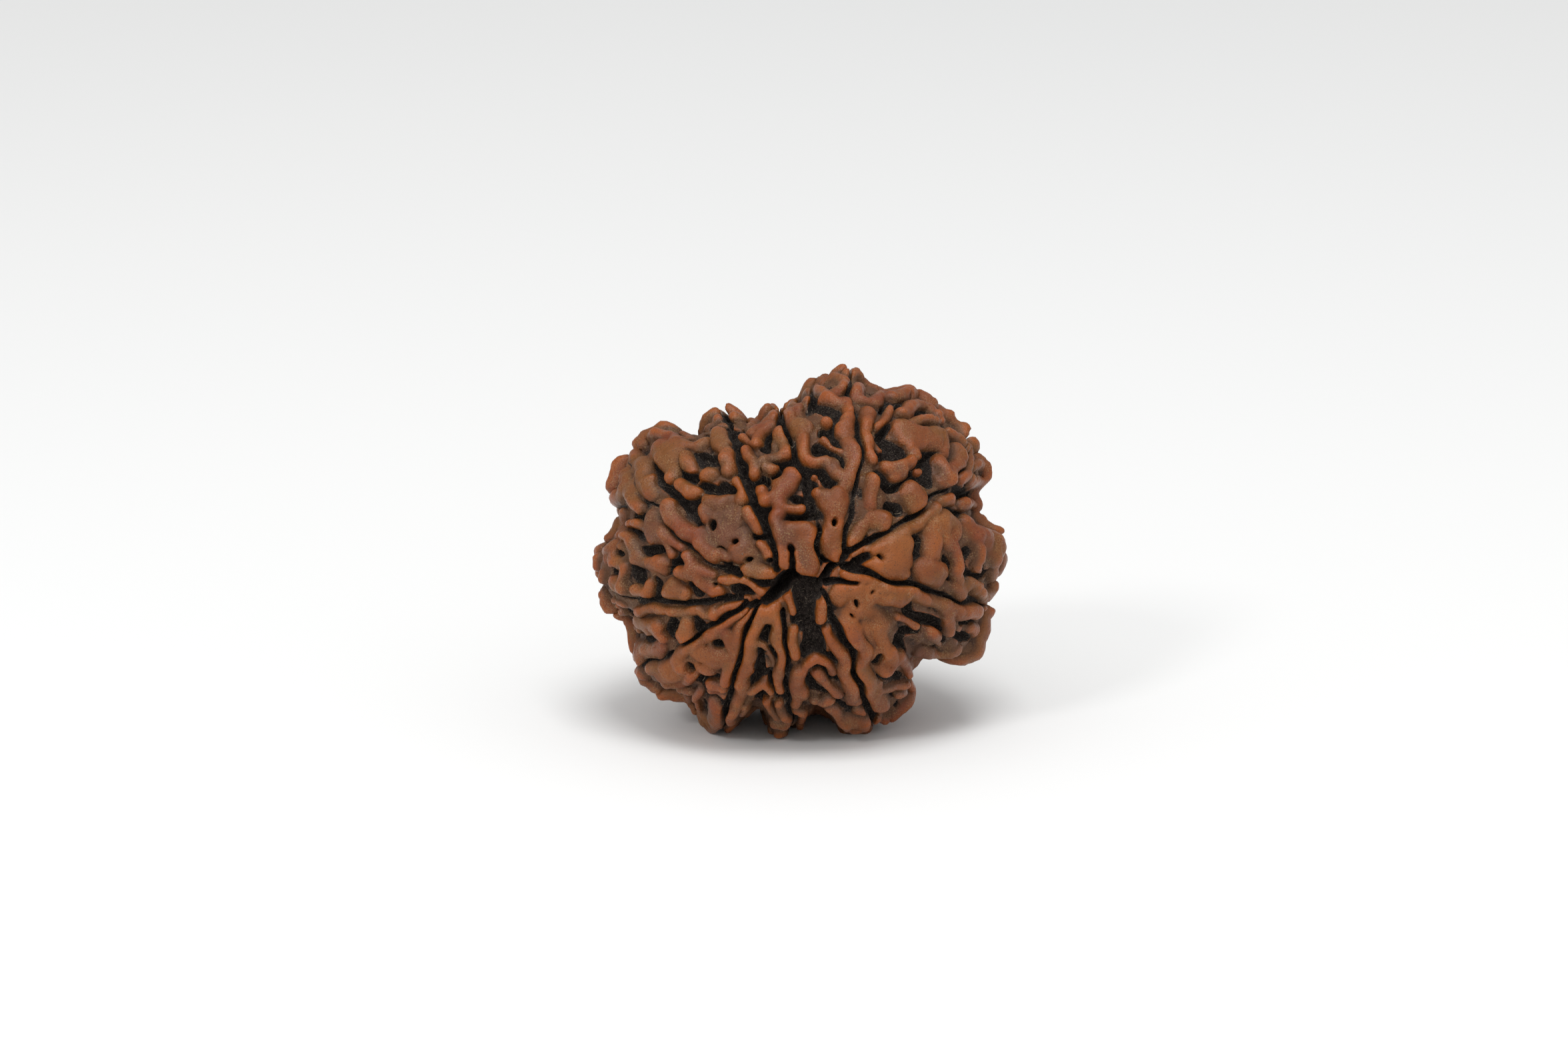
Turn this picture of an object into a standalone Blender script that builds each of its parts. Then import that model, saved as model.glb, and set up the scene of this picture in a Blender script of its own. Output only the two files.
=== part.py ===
"""A rudraksha seed: the woody stone of the fruit, one body grown whole.

Eleven clefts run over it from pole to pole, and between them the faces carry lips, knobs, branching
ridges and round pits. The visible side is laid out by hand as it is seen, in millimetres to the right
and up from the middle of the seed. The far side follows the same habits of growth by a seeded rule.
"""

import math

import bpy
import numpy as np

MM = 0.001

# How the seed lies: the middle of its core above the surface, and how steeply the layout looks down on it
CORE_MIDDLE = (-0.01 * MM, -0.25 * MM, 11.18 * MM)
LOOK_DOWN = math.radians(15.0)

# The core, up to the floors of the hollows
FRONT_HALF_DEPTH = 9.0 * MM
BACK_HALF_DEPTH = 9.5 * MM
LIMB_SHARE = 0.35
GIRTH_SPREAD = math.radians(16.0)
LIMB_SPREAD = math.radians(4.0)

# Relief on the core: the skin between the ridges, and how far ridges rise from it
SKIN = 0.66 * MM
SKIN_SWELL = 0.07 * MM
SKIN_SWELL_SIZE = 1.7 * MM
BROAD_RISE = 0.34 * MM
BROAD_FADE = 0.35
GAP_SIZE = 2.4 * MM
GAP_EDGES = (-0.75, -0.2)
RIPPLE_WAVES = 24
GAP_WAVES = 30
RISE = 0.64 * MM
FULL_RISE_WIDTH = 0.20 * MM
LAYOUT_LEVEL = 0.8 * MM
CROWN_DROP = 0.46 * MM
WALL_SLOPE = 3.6
RIDGE_BLEND = 0.16 * MM
CUT_BLEND = 0.08 * MM
MOST_LIFT = 0.45 * MM
LINE_STEP = 0.35 * MM

# Cuts into the relief: how far the mouth of each reaches beyond its half-width, its floor and its slope
HOLLOW = (0.0, -0.10 * MM, 3.4)
GROOVE = (0.0, 0.0, 3.6)
PIT = (0.06 * MM, 0.15 * MM, 3.8)
PLUG = (0.0, -0.45 * MM, 3.6)
HOLE = (0.06 * MM, -2.4 * MM, 3.4)
FAR_GROOVE_WIDTHS = (0.2, 0.24)

WOBBLE = 0.09 * MM
WOBBLE_SIZE = 2.4 * MM

# The far side, and how far behind the outline its chance hollows are at their full depth
SEED = 108
BEHIND_FULL = 0.25
ROW_STEP = 2.0 * MM
KNOB_STEP = 2.05 * MM
LIP_OFFSET = 0.52 * MM
FACE_RADIUS = 11.4 * MM
BACK_POLE = (-0.02, 0.995, -0.096)
BACK_HOLE_REACH = 0.87

# Three low knobs that it rests on, as x, y and half-width, and how far they are cut off flat
FEET = ((-4.4, -1.0, 1.0), (3.7, -2.8, 0.95), (0.7, 3.1, 1.1))
FOOT_CUT = 0.16 * MM
CLEARANCE = 0.10 * MM

# The faceted solid
SPHERE_LEVEL = 8
MOST_TRIANGLES = 11600

# Floor radius round the outline: angle in degrees from the right, then millimetres
GIRTH = (
    (0, 12.0), (13, 10.3), (28, 11.8), (42, 11.7), (55, 11.4), (65, 10.5), (77, 10.9),
    (86, 9.8), (94, 7.6), (102, 8.6), (110, 6.9), (116, 9.3), (123, 9.6), (130, 8.6), (139, 11.1),
    (148, 11.1),
    (157, 11.4), (164, 11.6), (171, 10.0), (180, 11.9), (190, 12.0), (197, 11.3), (204, 10.2),
    (210, 11.2), (220, 12.0), (231, 10.7), (238, 11.1), (245, 11.8), (255, 8.9), (263, 11.3),
    (269, 10.3), (276, 8.0), (284, 11.3), (291, 11.2), (301, 10.9), (308, 10.6), (316, 8.2),
    (321, 9.4), (327, 12.0), (338, 11.5), (348, 11.2),
)

# Clefts from the front hole to the outline, in order round the seed: half-width at the first and at the last
# point in millimetres, then the points as x and y
CLEFTS = (
    (.30, .12, 3.0, -0.75, 4.3, -1.3, 5.5, -1.75, 6.7, -2.0, 7.6, -2.25, 8.5, -2.5, 9.4, -2.85, 10.3, -3.15,
     11.0, -3.35, 11.7, -3.3),
    (.28, .10, 2.8, 0.0, 3.6, 0.4, 4.6, 0.85, 5.5, 1.2, 6.2, 1.7, 6.9, 2.25, 7.4, 2.6, 7.8, 3.0, 8.2, 3.5,
     8.7, 3.85, 9.2, 4.1, 9.7, 4.5, 10.1, 5.2, 10.25, 5.8, 10.2, 6.5, 10.5, 7.2),
    (.22, .20, 2.8, -0.1, 2.74, 0.5, 2.8, 1.0, 3.0, 1.7, 3.2, 2.3, 3.3, 3.1, 3.4, 3.8, 3.55, 4.4, 3.7, 5.2,
     3.75, 6.0, 3.75, 7.0, 3.7, 7.8, 3.45, 8.6, 3.15, 9.6, 3.05, 10.2, 3.15, 10.8, 3.1, 11.3),
    (.20, .28, 1.4, -0.8, 1.15, -0.1, 1.0, 0.5, 1.05, 1.2, 0.85, 1.9, 0.6, 2.6, 0.5, 3.3, 0.3, 3.9, 0.1, 4.6,
     -0.2, 5.4, -0.4, 6.2, -0.6, 7.0, -0.9, 7.8, -1.2, 8.6, -1.4, 9.4),
    (.30, .28, -1.4, -1.1, -1.65, -0.2, -2.0, 0.5, -2.25, 1.2, -2.45, 1.9, -2.8, 2.8, -3.2, 3.9, -3.6, 5.0,
     -4.0, 6.2, -4.3, 7.1, -4.65, 8.3, -4.75, 9.2),
    (.26, .03, -3.45, -1.5, -4.7, -0.95, -5.46, -0.64, -6.3, -0.1, -7.0, 0.35, -7.6, 0.95, -8.15, 1.6,
     -8.5, 2.3, -8.8, 2.85, -9.25, 3.1, -9.7, 3.65, -10.1, 4.3, -10.4, 4.9, -10.5, 5.6, -10.4, 6.4),
    (.24, .12, -3.9, -2.8, -4.9, -2.9, -5.8, -3.15, -6.95, -3.25, -8.15, -3.22, -9.3, -3.15, -10.2, -3.1,
     -10.8, -2.85, -11.7, -2.6, -12.6, -2.2),
    (.25, .16, -3.6, -3.1, -4.6, -4.0, -5.4, -4.5, -6.2, -5.0, -7.0, -5.55, -7.7, -6.05, -8.4, -6.5,
     -9.2, -6.9, -10.0, -7.1, -10.6, -7.2),
    (.22, .26, -2.7, -3.2, -3.0, -3.8, -3.3, -4.5, -3.5, -5.3, -3.7, -6.05, -3.9, -6.8, -4.05, -7.55,
     -4.15, -8.2, -4.4, -8.9, -4.6, -9.7, -4.75, -11.0),
    (.22, .24, -1.15, -3.6, -1.0, -4.7, -0.95, -5.8, -0.9, -7.1, -0.88, -8.2, -0.8, -8.9, -0.66, -9.6,
     -0.6, -10.4, -0.55, -11.2),
    (.24, .28, 1.45, -2.4, 1.6, -3.1, 1.95, -4.0, 2.45, -4.7, 2.85, -5.45, 3.15, -6.05, 3.3, -6.85,
     3.5, -7.55, 3.7, -8.25, 4.0, -8.95, 4.25, -9.6, 4.6, -10.6, 4.9, -11.2),
)

# Lips, knobs and ridges: half-width at the first and at the last point, then the points as x and y.
# Face between the clefts at upper right and top
RIDGES_TOP_RIGHT = (
    (.32, .32, 2.9, 11.2, 3.4, 11.1, 3.9, 10.8, 4.3, 10.5, 5.0, 10.4),
    (.40, .40, 3.7, 10.2, 3.6, 9.6, 4.2, 9.4, 4.8, 9.5, 5.1, 9.9),
    (.45, .40, 4.3, 8.7, 4.3, 8.2, 4.2, 7.5, 4.15, 6.9, 4.1, 6.3, 4.5, 5.7),
    (.25, .25, 5.4, 8.9, 5.4, 8.2, 5.0, 7.8),
    (.55, .50, 5.8, 9.7, 6.8, 9.9, 7.8, 9.8, 8.3, 9.5),
    (.40, .40, 6.2, 8.6, 6.8, 9.0, 7.4, 9.3, 8.2, 9.1, 8.6, 8.6),
    (.30, .30, 7.0, 8.2, 7.7, 8.35, 8.5, 8.2),
    (.95, .90, 6.7, 7.4, 7.6, 7.25, 8.4, 7.05),
    (.45, .40, 8.9, 7.3, 9.1, 6.7, 9.0, 6.2),
    (.50, .40, 7.0, 6.6, 7.3, 6.1, 7.0, 5.6),
    (.45, .45, 5.4, 5.3, 6.2, 5.4, 7.0, 5.5),
    (.60, .60, 5.9, 5.0, 6.1, 5.1),
    (.20, .20, 7.4, 4.8, 7.6, 4.8),
    (.55, .50, 8.8, 5.7, 9.0, 5.1, 9.2, 4.7),
    (.50, .35, 9.2, 4.7, 9.8, 5.4, 9.95, 6.0, 9.8, 6.5),
    (.20, .20, 8.9, 8.3, 8.9, 8.1),
    (.40, .35, 8.9, 8.8, 9.5, 8.6, 9.7, 8.0, 10.1, 7.5),
    (.35, .30, 9.3, 7.4, 9.7, 7.2, 10.0, 6.9),
    (.72, .62, 6.8, 3.7, 7.1, 3.2),
    (.30, .30, 7.5, 3.6, 7.5, 3.4),
    (.40, .40, 4.45, 4.4, 4.3, 3.7, 4.2, 3.0),
    (.65, .60, 4.5, 2.0, 5.2, 2.1, 5.1, 1.8),
    (.42, .30, 3.9, 1.6, 3.5, 1.0, 3.2, 0.6),
)
# Face on the right
RIDGES_RIGHT = (
    (.35, .35, 10.3, 7.6, 10.7, 7.2, 11.0, 6.6),
    (.35, .30, 10.3, 6.6, 10.7, 6.5, 10.7, 6.0, 10.5, 5.4, 10.4, 4.9, 10.1, 4.4),
    (.35, .35, 10.9, 5.4, 11.4, 5.4, 11.8, 5.0, 11.7, 4.4, 11.2, 4.3, 10.75, 4.7),
    (.35, .35, 11.4, 6.1, 11.8, 5.7, 12.0, 5.1, 11.9, 4.5),
    (.42, .40, 8.9, 3.05, 9.4, 3.3),
    (.36, .36, 10.1, 3.0, 10.8, 3.05, 11.05, 2.8),
    (.30, .30, 11.5, 4.1, 11.7, 3.5, 11.4, 3.1),
    (.42, .40, 8.5, 2.6, 7.8, 2.15, 7.0, 1.6, 6.3, 1.0, 5.6, 0.5, 4.9, 0.15, 4.3, -0.1),
    (.15, .15, 3.2, -0.15, 3.9, 0.15, 4.5, 0.45),
    (.90, .70, 8.3, 1.3, 8.9, 1.4, 9.2, 0.8),
    (.60, .50, 8.3, 0.5, 8.1, -0.1),
    (.45, .38, 9.1, 2.1, 9.6, 1.6, 9.6, 0.8, 9.7, 0.1, 9.95, -0.5, 9.9, -1.2, 10.0, -1.7),
    (.60, .65, 10.3, 1.7, 11.0, 1.2, 11.7, 1.2, 12.2, 0.9, 12.5, 0.3, 12.3, -0.3),
    (.40, .40, 11.1, 2.2, 11.8, 1.9, 12.5, 1.4),
    (.38, .35, 11.2, 0.3, 11.2, -0.4, 11.1, -1.1),
    (.30, .30, 12.3, -0.9, 12.1, -1.5),
    (.70, .70, 5.6, -0.3, 6.2, 0.1, 6.5, 0.3),
    (.55, .40, 5.0, -0.8, 5.9, -0.7, 6.5, -0.6, 6.8, -0.3),
    (.40, .40, 5.6, -1.1, 6.4, -1.2),
    (.28, .28, 4.3, -0.8, 4.8, -0.9),
    (.78, .76, 7.75, -1.2, 8.65, -1.35),
    (.40, .40, 9.8, -2.1, 10.2, -2.5),
    (.30, .30, 10.6, -2.1, 11.1, -2.15),
    (.35, .35, 10.9, -2.4, 11.4, -2.8, 11.9, -2.5, 12.1, -2.0),
)
# Face at lower right
RIDGES_LOWER_RIGHT = (
    (.26, .46, 3.05, -1.25, 3.5, -1.5, 4.3, -1.85, 5.5, -2.25, 6.7, -2.6),
    (.40, .42, 6.7, -2.5, 7.9, -3.0, 9.3, -3.45, 10.5, -3.6, 11.1, -3.9),
    (.60, .62, 2.35, -2.75, 3.0, -2.4, 3.8, -2.4, 4.7, -2.6),
    (.55, .45, 5.2, -2.9, 6.0, -2.9, 6.5, -2.8),
    (.50, .50, 2.95, -3.9, 3.15, -4.7),
    (.40, .42, 4.7, -4.8, 5.1, -5.6, 5.5, -6.1),
    (.42, .48, 2.75, -4.3, 3.4, -5.2, 3.95, -6.0),
    (.50, .44, 3.95, -6.3, 4.05, -7.4, 4.4, -8.6, 4.9, -9.6),
    (.50, .45, 5.5, -6.3, 5.9, -6.8, 5.5, -7.15, 5.2, -7.2),
    (.42, .40, 6.2, -6.5, 6.6, -7.0, 6.7, -7.5),
    (.30, .28, 6.0, -4.0, 6.6, -4.15, 7.1, -4.6),
    (.25, .25, 5.0, -8.5, 5.8, -8.5, 6.6, -8.35),
    (.45, .40, 4.7, -8.4, 5.0, -9.2, 5.2, -9.6),
    (.36, .36, 8.2, -4.95, 8.65, -5.3),
    (.12, .10, 8.55, -5.6, 8.7, -6.0),
    (.55, .40, 9.4, -3.9, 9.45, -4.6, 9.35, -5.0),
    (.45, .42, 10.0, -3.8, 10.8, -3.9),
    (.38, .35, 10.7, -4.9, 11.0, -4.9),
    (.50, .55, 11.8, -3.9, 11.7, -5.1, 11.1, -6.2, 10.3, -6.8, 9.5, -6.9),
    (.55, .50, 7.6, -6.15, 8.4, -6.4, 9.2, -6.4, 9.9, -6.2),
    (.40, .40, 11.5, -3.3, 11.8, -3.7),
    (.35, .35, 6.9, -8.1, 7.0, -8.9, 6.9, -9.5, 6.3, -10.1, 5.5, -10.5, 4.9, -10.6),
    (.30, .25, 6.0, -8.95, 6.6, -8.85),
)
# Sunken face at the bottom
RIDGES_BOTTOM = (
    (.22, .20, -1.1, -2.65, -0.7, -3.1, -0.45, -3.55),
    (.28, .30, 1.15, -2.5, 1.2, -3.3, 1.45, -4.1),
    (.33, .36, -0.3, -4.85, -0.5, -5.5, -0.36, -6.35),
    (.45, .34, -0.1, -7.4, -0.2, -8.4, -0.15, -9.6),
    (.22, .20, -0.15, -9.6, -0.2, -10.0),
    (.35, .35, 0.1, -8.6, 0.2, -9.0),
    (.26, .28, 0.1, -7.3, 0.4, -6.9, 0.95, -6.65, 1.53, -6.95, 2.0, -7.45),
    (.30, .40, 1.9, -5.0, 2.4, -6.1, 2.75, -7.0),
    (.42, .50, 2.75, -7.2, 3.1, -8.3, 3.4, -9.5),
    (.30, .30, 0.92, -7.5, 1.6, -8.05, 2.5, -8.8),
    (.30, .30, 0.8, -9.1, 1.5, -9.3, 2.0, -9.2),
    (.35, .35, 2.0, -9.8, 2.4, -10.4, 3.0, -11.0),
    (.50, .45, 3.0, -10.6, 3.8, -10.7, 4.2, -10.9, 3.5, -11.1),
    (.35, .30, 3.7, -10.1, 4.0, -10.1),
    (.40, .30, 0.1, -10.0, 0.1, -10.5, 0.0, -10.9),
)
# Face at lower left of the bottom, two ridges that part like a letter A
RIDGES_BOTTOM_LEFT = (
    (.45, .45, -2.4, -3.4, -1.7, -3.5),
    (.55, .45, -2.35, -3.8, -1.75, -3.9),
    (.34, .32, -1.4, -4.1, -1.4, -5.3, -1.3, -6.2, -1.3, -7.1, -1.28, -7.8, -1.25, -8.7),
    (.36, .45, -2.6, -4.3, -2.9, -5.2, -3.15, -6.2, -3.35, -7.2, -3.5, -8.1),
    (.45, .35, -3.5, -8.1, -3.6, -8.8, -3.9, -9.5, -4.15, -10.1),
    (.20, .20, -2.1, -5.8, -1.95, -6.5, -1.7, -7.1),
    (.15, .15, -2.7, -5.6, -2.1, -5.7),
    (.25, .20, -3.1, -8.6, -2.6, -8.3, -2.2, -8.25, -1.9, -8.7),
    (.25, .25, -2.2, -9.2, -1.8, -9.8, -1.5, -10.4),
    (.28, .25, -1.4, -9.5, -1.15, -10.0, -1.05, -10.6),
    (.40, .35, -1.6, -10.8, -1.1, -10.9),
    (.40, .35, -3.5, -9.6, -3.4, -10.1),
    (.35, .30, -4.25, -10.3, -4.2, -10.6),
)
# Face at lower left
RIDGES_LOWER_LEFT = (
    (.18, .36, -3.2, -3.7, -3.65, -4.3, -3.95, -5.2, -4.2, -6.1),
    (.36, .38, -4.2, -6.1, -4.5, -7.1, -4.65, -7.9),
    (.20, .36, -3.6, -3.6, -4.6, -4.4, -5.5, -5.1, -6.35, -5.65),
    (.36, .35, -6.35, -5.65, -7.25, -6.25, -7.85, -6.8, -8.45, -7.15, -9.3, -7.5),
    (.48, .45, -4.6, -5.1, -4.35, -5.8),
    (.70, .55, -6.2, -6.15, -5.4, -6.5, -4.9, -6.6),
    (.42, .42, -6.1, -7.1, -5.7, -7.2),
    (.60, .60, -8.7, -7.8, -7.9, -7.6, -7.4, -7.2),
    (.50, .35, -8.3, -8.2, -7.6, -8.2, -6.9, -7.9, -6.5, -7.6),
    (.40, .40, -5.5, -8.4, -4.9, -8.4),
    (.28, .28, -5.7, -8.7, -4.8, -9.05),
    (.50, .45, -10.0, -7.7, -9.9, -8.1, -9.4, -8.7, -8.7, -9.0, -7.9, -8.9),
    (.38, .35, -7.4, -8.6, -6.9, -8.8),
    (.30, .28, -7.2, -9.0, -6.9, -9.7, -6.7, -10.1),
    (.25, .25, -6.4, -8.6, -6.4, -9.4, -6.3, -10.1),
    (.48, .50, -5.4, -9.5, -5.15, -10.1, -5.3, -10.6),
    (.40, .35, -6.0, -10.4, -5.6, -10.8),
)
# Face on the left, below the level cleft
RIDGES_LEFT_LOW = (
    (.28, .26, -9.9, -3.75, -8.7, -3.68, -7.5, -3.75, -6.4, -3.65, -5.9, -3.9, -5.2, -3.8),
    (.26, .20, -5.2, -3.8, -4.5, -3.35, -4.0, -3.15),
    (.22, .20, -11.6, -3.2, -11.1, -3.4, -10.6, -3.6),
    (.38, .35, -12.4, -2.8, -12.2, -3.3, -11.9, -3.7),
    (.25, .25, -11.3, -3.5, -11.0, -3.95),
    (.22, .22, -11.5, -4.15, -10.9, -4.5, -10.1, -4.85),
    (.42, .40, -10.1, -4.25, -9.4, -4.45, -8.8, -4.5),
    (.40, .35, -9.0, -4.6, -8.6, -5.3),
    (.20, .20, -10.3, -5.1, -10.3, -5.6, -9.9, -6.0),
    (.25, .25, -11.1, -4.8, -11.1, -5.4, -10.9, -6.1),
    (.25, .25, -10.7, -4.9, -10.75, -5.4, -10.5, -6.1),
    (.45, .40, -10.1, -6.4, -9.3, -6.15, -8.6, -5.85),
    (.44, .60, -6.95, -4.3, -7.3, -5.25),
    (.35, .30, -10.7, -6.3, -10.4, -6.7),
)
# Face on the left, above the level cleft
RIDGES_LEFT = (
    (.40, .35, -11.55, 5.5, -12.0, 4.8, -12.1, 4.2),
    (.42, .50, -11.2, 5.7, -11.1, 5.2),
    (.58, .55, -11.05, 4.8, -11.0, 4.2, -10.65, 3.6),
    (.50, .48, -10.4, 3.3, -10.05, 2.95),
    (.50, .50, -11.75, 3.35, -11.2, 3.8),
    (.38, .36, -11.0, 2.3, -11.1, 1.6, -10.75, 0.9, -10.4, 0.3, -10.1, -0.3),
    (.30, .30, -10.55, 1.8, -9.9, 1.75, -9.5, 1.5),
    (.42, .50, -9.35, 2.3, -9.4, 1.6, -9.15, 1.1),
    (.55, .28, -9.1, 1.25, -8.3, 0.75, -7.45, 0.2),
    (.50, .50, -11.7, 1.6, -12.0, 1.0),
    (.50, .45, -11.6, 0.5, -12.2, 0.05),
    (.35, .33, -12.2, -0.5, -11.5, -0.65, -10.95, -0.95, -11.05, -1.6),
    (.30, .42, -10.3, -0.55, -9.5, -0.75, -8.6, -0.8),
    (.45, .35, -8.7, -0.7, -8.5, -1.1),
    (.28, .28, -8.3, 0.35, -8.0, -0.3),
    (.58, .50, -11.6, -1.85, -11.1, -2.05),
    (.28, .28, -12.4, -1.4, -12.4, -1.9),
    (.35, .30, -12.7, -0.4, -12.75, -1.1),
    (.36, .44, -9.45, -1.85, -9.55, -2.3),
    (.42, .40, -10.2, -2.45, -9.5, -2.55),
    (.40, .40, -7.95, -1.95, -8.0, -2.4),
    (.50, .44, -8.2, -2.5, -7.4, -2.65),
    (.35, .33, -7.1, -0.35, -6.6, -0.85, -6.0, -1.1, -5.4, -1.3),
    (.33, .33, -7.5, -1.25, -6.6, -1.2),
    (.38, .38, -6.3, -1.4, -6.15, -2.05, -5.7, -2.45, -5.0, -2.35),
    (.28, .25, -4.8, -1.6, -4.3, -1.75, -3.5, -1.75, -2.8, -2.05, -2.45, -2.4),
    (.20, .20, -4.3, -2.85, -3.4, -2.95),
)
# Face at upper left
RIDGES_UPPER_LEFT = (
    (.38, .35, -10.2, 6.9, -9.8, 7.5, -9.2, 7.85, -8.5, 8.0, -7.9, 7.8),
    (.30, .30, -7.4, 7.45, -7.0, 7.1),
    (.38, .42, -9.75, 6.75, -9.6, 7.15, -9.0, 7.4, -8.2, 7.3, -7.6, 6.95),
    (1.00, .95, -8.3, 6.3, -7.9, 6.2),
    (.60, .55, -9.0, 6.2, -8.6, 6.0),
    (.92, .42, -8.25, 5.9, -8.1, 5.2, -7.95, 4.6),
    (.50, .38, -7.2, 5.9, -6.8, 5.15),
    (.40, .38, -7.3, 6.6, -6.5, 6.6, -5.8, 6.8),
    (.35, .35, -10.2, 6.4, -10.1, 6.0),
    (.50, .52, -9.85, 5.5, -9.8, 4.9),
    (.58, .55, -9.5, 4.4, -9.3, 3.9),
    (.40, .42, -7.35, 4.1, -6.9, 3.85, -6.4, 3.6),
    (.48, .45, -8.2, 2.85, -7.85, 2.1, -7.2, 1.4, -6.5, 0.75, -5.8, 0.15, -5.3, -0.15),
    (.35, .35, -6.1, 7.6, -5.95, 8.4, -5.35, 8.9),
    (.30, .30, -5.8, 7.8, -5.25, 8.4),
    (.55, .50, -5.2, 7.4, -5.0, 6.8),
    (.32, .46, -4.95, 6.5, -4.65, 6.1),
    (.48, .45, -4.6, 5.8, -4.45, 5.1),
    (.45, .45, -5.75, 4.95, -5.6, 4.9),
    (.34, .38, -3.85, 4.4, -3.5, 3.8, -3.75, 3.15),
    (.42, .48, -3.25, 2.45, -3.0, 2.0, -2.75, 1.5),
    (.42, .40, -5.5, 3.1, -5.0, 2.95),
    (.40, .36, -6.0, 2.5, -5.9, 2.1),
    (.66, .60, -3.75, 0.2, -3.6, -0.3),
    (.30, .28, -2.75, 0.5, -2.4, 0.1, -2.15, -0.3),
    (.33, .28, -3.2, -1.15, -2.2, -1.25, -1.7, -1.35),
    (.38, .35, -5.0, 0.0, -4.4, -0.35),
)
# Face at the top, left
RIDGES_TOP_LEFT = (
    (.35, .35, -4.4, 9.1, -4.1, 9.2, -3.7, 8.7, -3.4, 8.3),
    (.50, .50, -4.0, 8.4, -3.4, 8.2),
    (.30, .30, -2.2, 9.3, -2.6, 8.7, -2.9, 8.1, -3.1, 7.7),
    (.40, .40, -1.7, 8.6, -2.0, 8.2, -2.6, 7.7, -3.0, 7.4),
    (.30, .18, -3.7, 7.15, -3.3, 6.9, -2.7, 6.6),
    (.40, .40, -2.0, 7.9, -2.5, 7.3, -2.6, 6.8),
    (.45, .40, -1.2, 7.6, -1.1, 7.0, -0.9, 6.3),
    (.35, .35, -1.4, 6.0, -2.0, 5.9, -2.4, 5.7),
    (.40, .40, -3.4, 6.4, -3.2, 5.9, -2.9, 5.3, -2.8, 4.9),
    (.38, .38, -2.0, 5.3, -1.6, 5.1),
    (.40, .40, -2.4, 3.85, -2.15, 3.2),
    (.50, .50, -0.5, 4.8, -0.9, 4.1, -1.5, 3.6, -2.0, 3.3),
    (.50, .40, -1.3, 4.1, -1.3, 3.4, -1.3, 2.6, -1.55, 1.9, -1.4, 1.1),
    (.28, .28, -1.0, 2.8, -0.05, 2.8),
    (.42, .38, -1.3, 1.1, -1.2, 0.2, -1.0, -0.6),
    (.75, .60, -0.6, 1.0, -0.35, 0.1, -0.25, -0.6),
    (.62, .50, 0.15, 0.9, 0.4, 0.0, 0.45, -0.8),
    (.42, .45, -0.8, 1.55, 0.0, 1.5, 0.5, 1.15, 0.55, 0.5, 0.65, -0.2, 0.8, -0.9),
)
# Face at the top, right of the middle
RIDGES_TOP = (
    (.30, .30, -1.5, 9.6, -0.5, 9.2, 0.0, 8.8),
    (.42, .42, -0.6, 8.6, -0.2, 8.0, -0.05, 7.5),
    (.38, .36, 0.1, 7.1, 0.3, 6.0, 0.6, 5.7, 1.4, 5.8, 2.0, 5.3, 2.6, 4.7),
    (.38, .38, 1.55, 8.0, 1.7, 8.0),
    (.45, .42, 1.5, 9.6, 2.3, 9.45, 2.8, 9.3, 3.0, 8.8),
    (.45, .50, 2.9, 8.4, 2.9, 7.4),
    (.42, .42, 3.0, 6.9, 3.1, 6.4, 3.1, 5.6, 3.0, 4.8, 2.85, 4.0),
    (.18, .18, 1.6, 6.8, 2.5, 6.2),
    (.20, .20, 0.75, 4.7, 0.85, 4.7),
    (.35, .35, 0.2, 10.0, 0.45, 10.5, 0.9, 10.75, 1.5, 10.7),
    (.20, .20, 0.3, 10.1, 0.4, 9.4),
    (.25, .25, 0.95, 10.4, 1.1, 10.0, 1.4, 9.8),
    (.40, .40, 1.7, 10.9, 2.2, 11.0, 2.6, 10.8, 2.6, 10.2, 2.3, 9.9),
    (.30, .30, 2.2, 11.4, 2.7, 11.45),
    (.35, .40, 1.0, 3.7, 1.3, 3.4),
    (.70, .65, 1.6, 3.2, 1.9, 2.5, 2.0, 1.9),
    (.58, .58, 2.4, 3.5, 2.3, 2.7),
    (.74, .55, 1.9, 1.3, 1.95, 0.6, 2.05, 0.0),
    (.30, .20, 2.2, -0.3, 2.4, -0.6),
)
RIDGES = (
    RIDGES_TOP_RIGHT + RIDGES_RIGHT + RIDGES_LOWER_RIGHT + RIDGES_BOTTOM + RIDGES_BOTTOM_LEFT
    + RIDGES_LOWER_LEFT + RIDGES_LEFT_LOW + RIDGES_LEFT + RIDGES_UPPER_LEFT + RIDGES_TOP_LEFT + RIDGES_TOP
)

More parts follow.
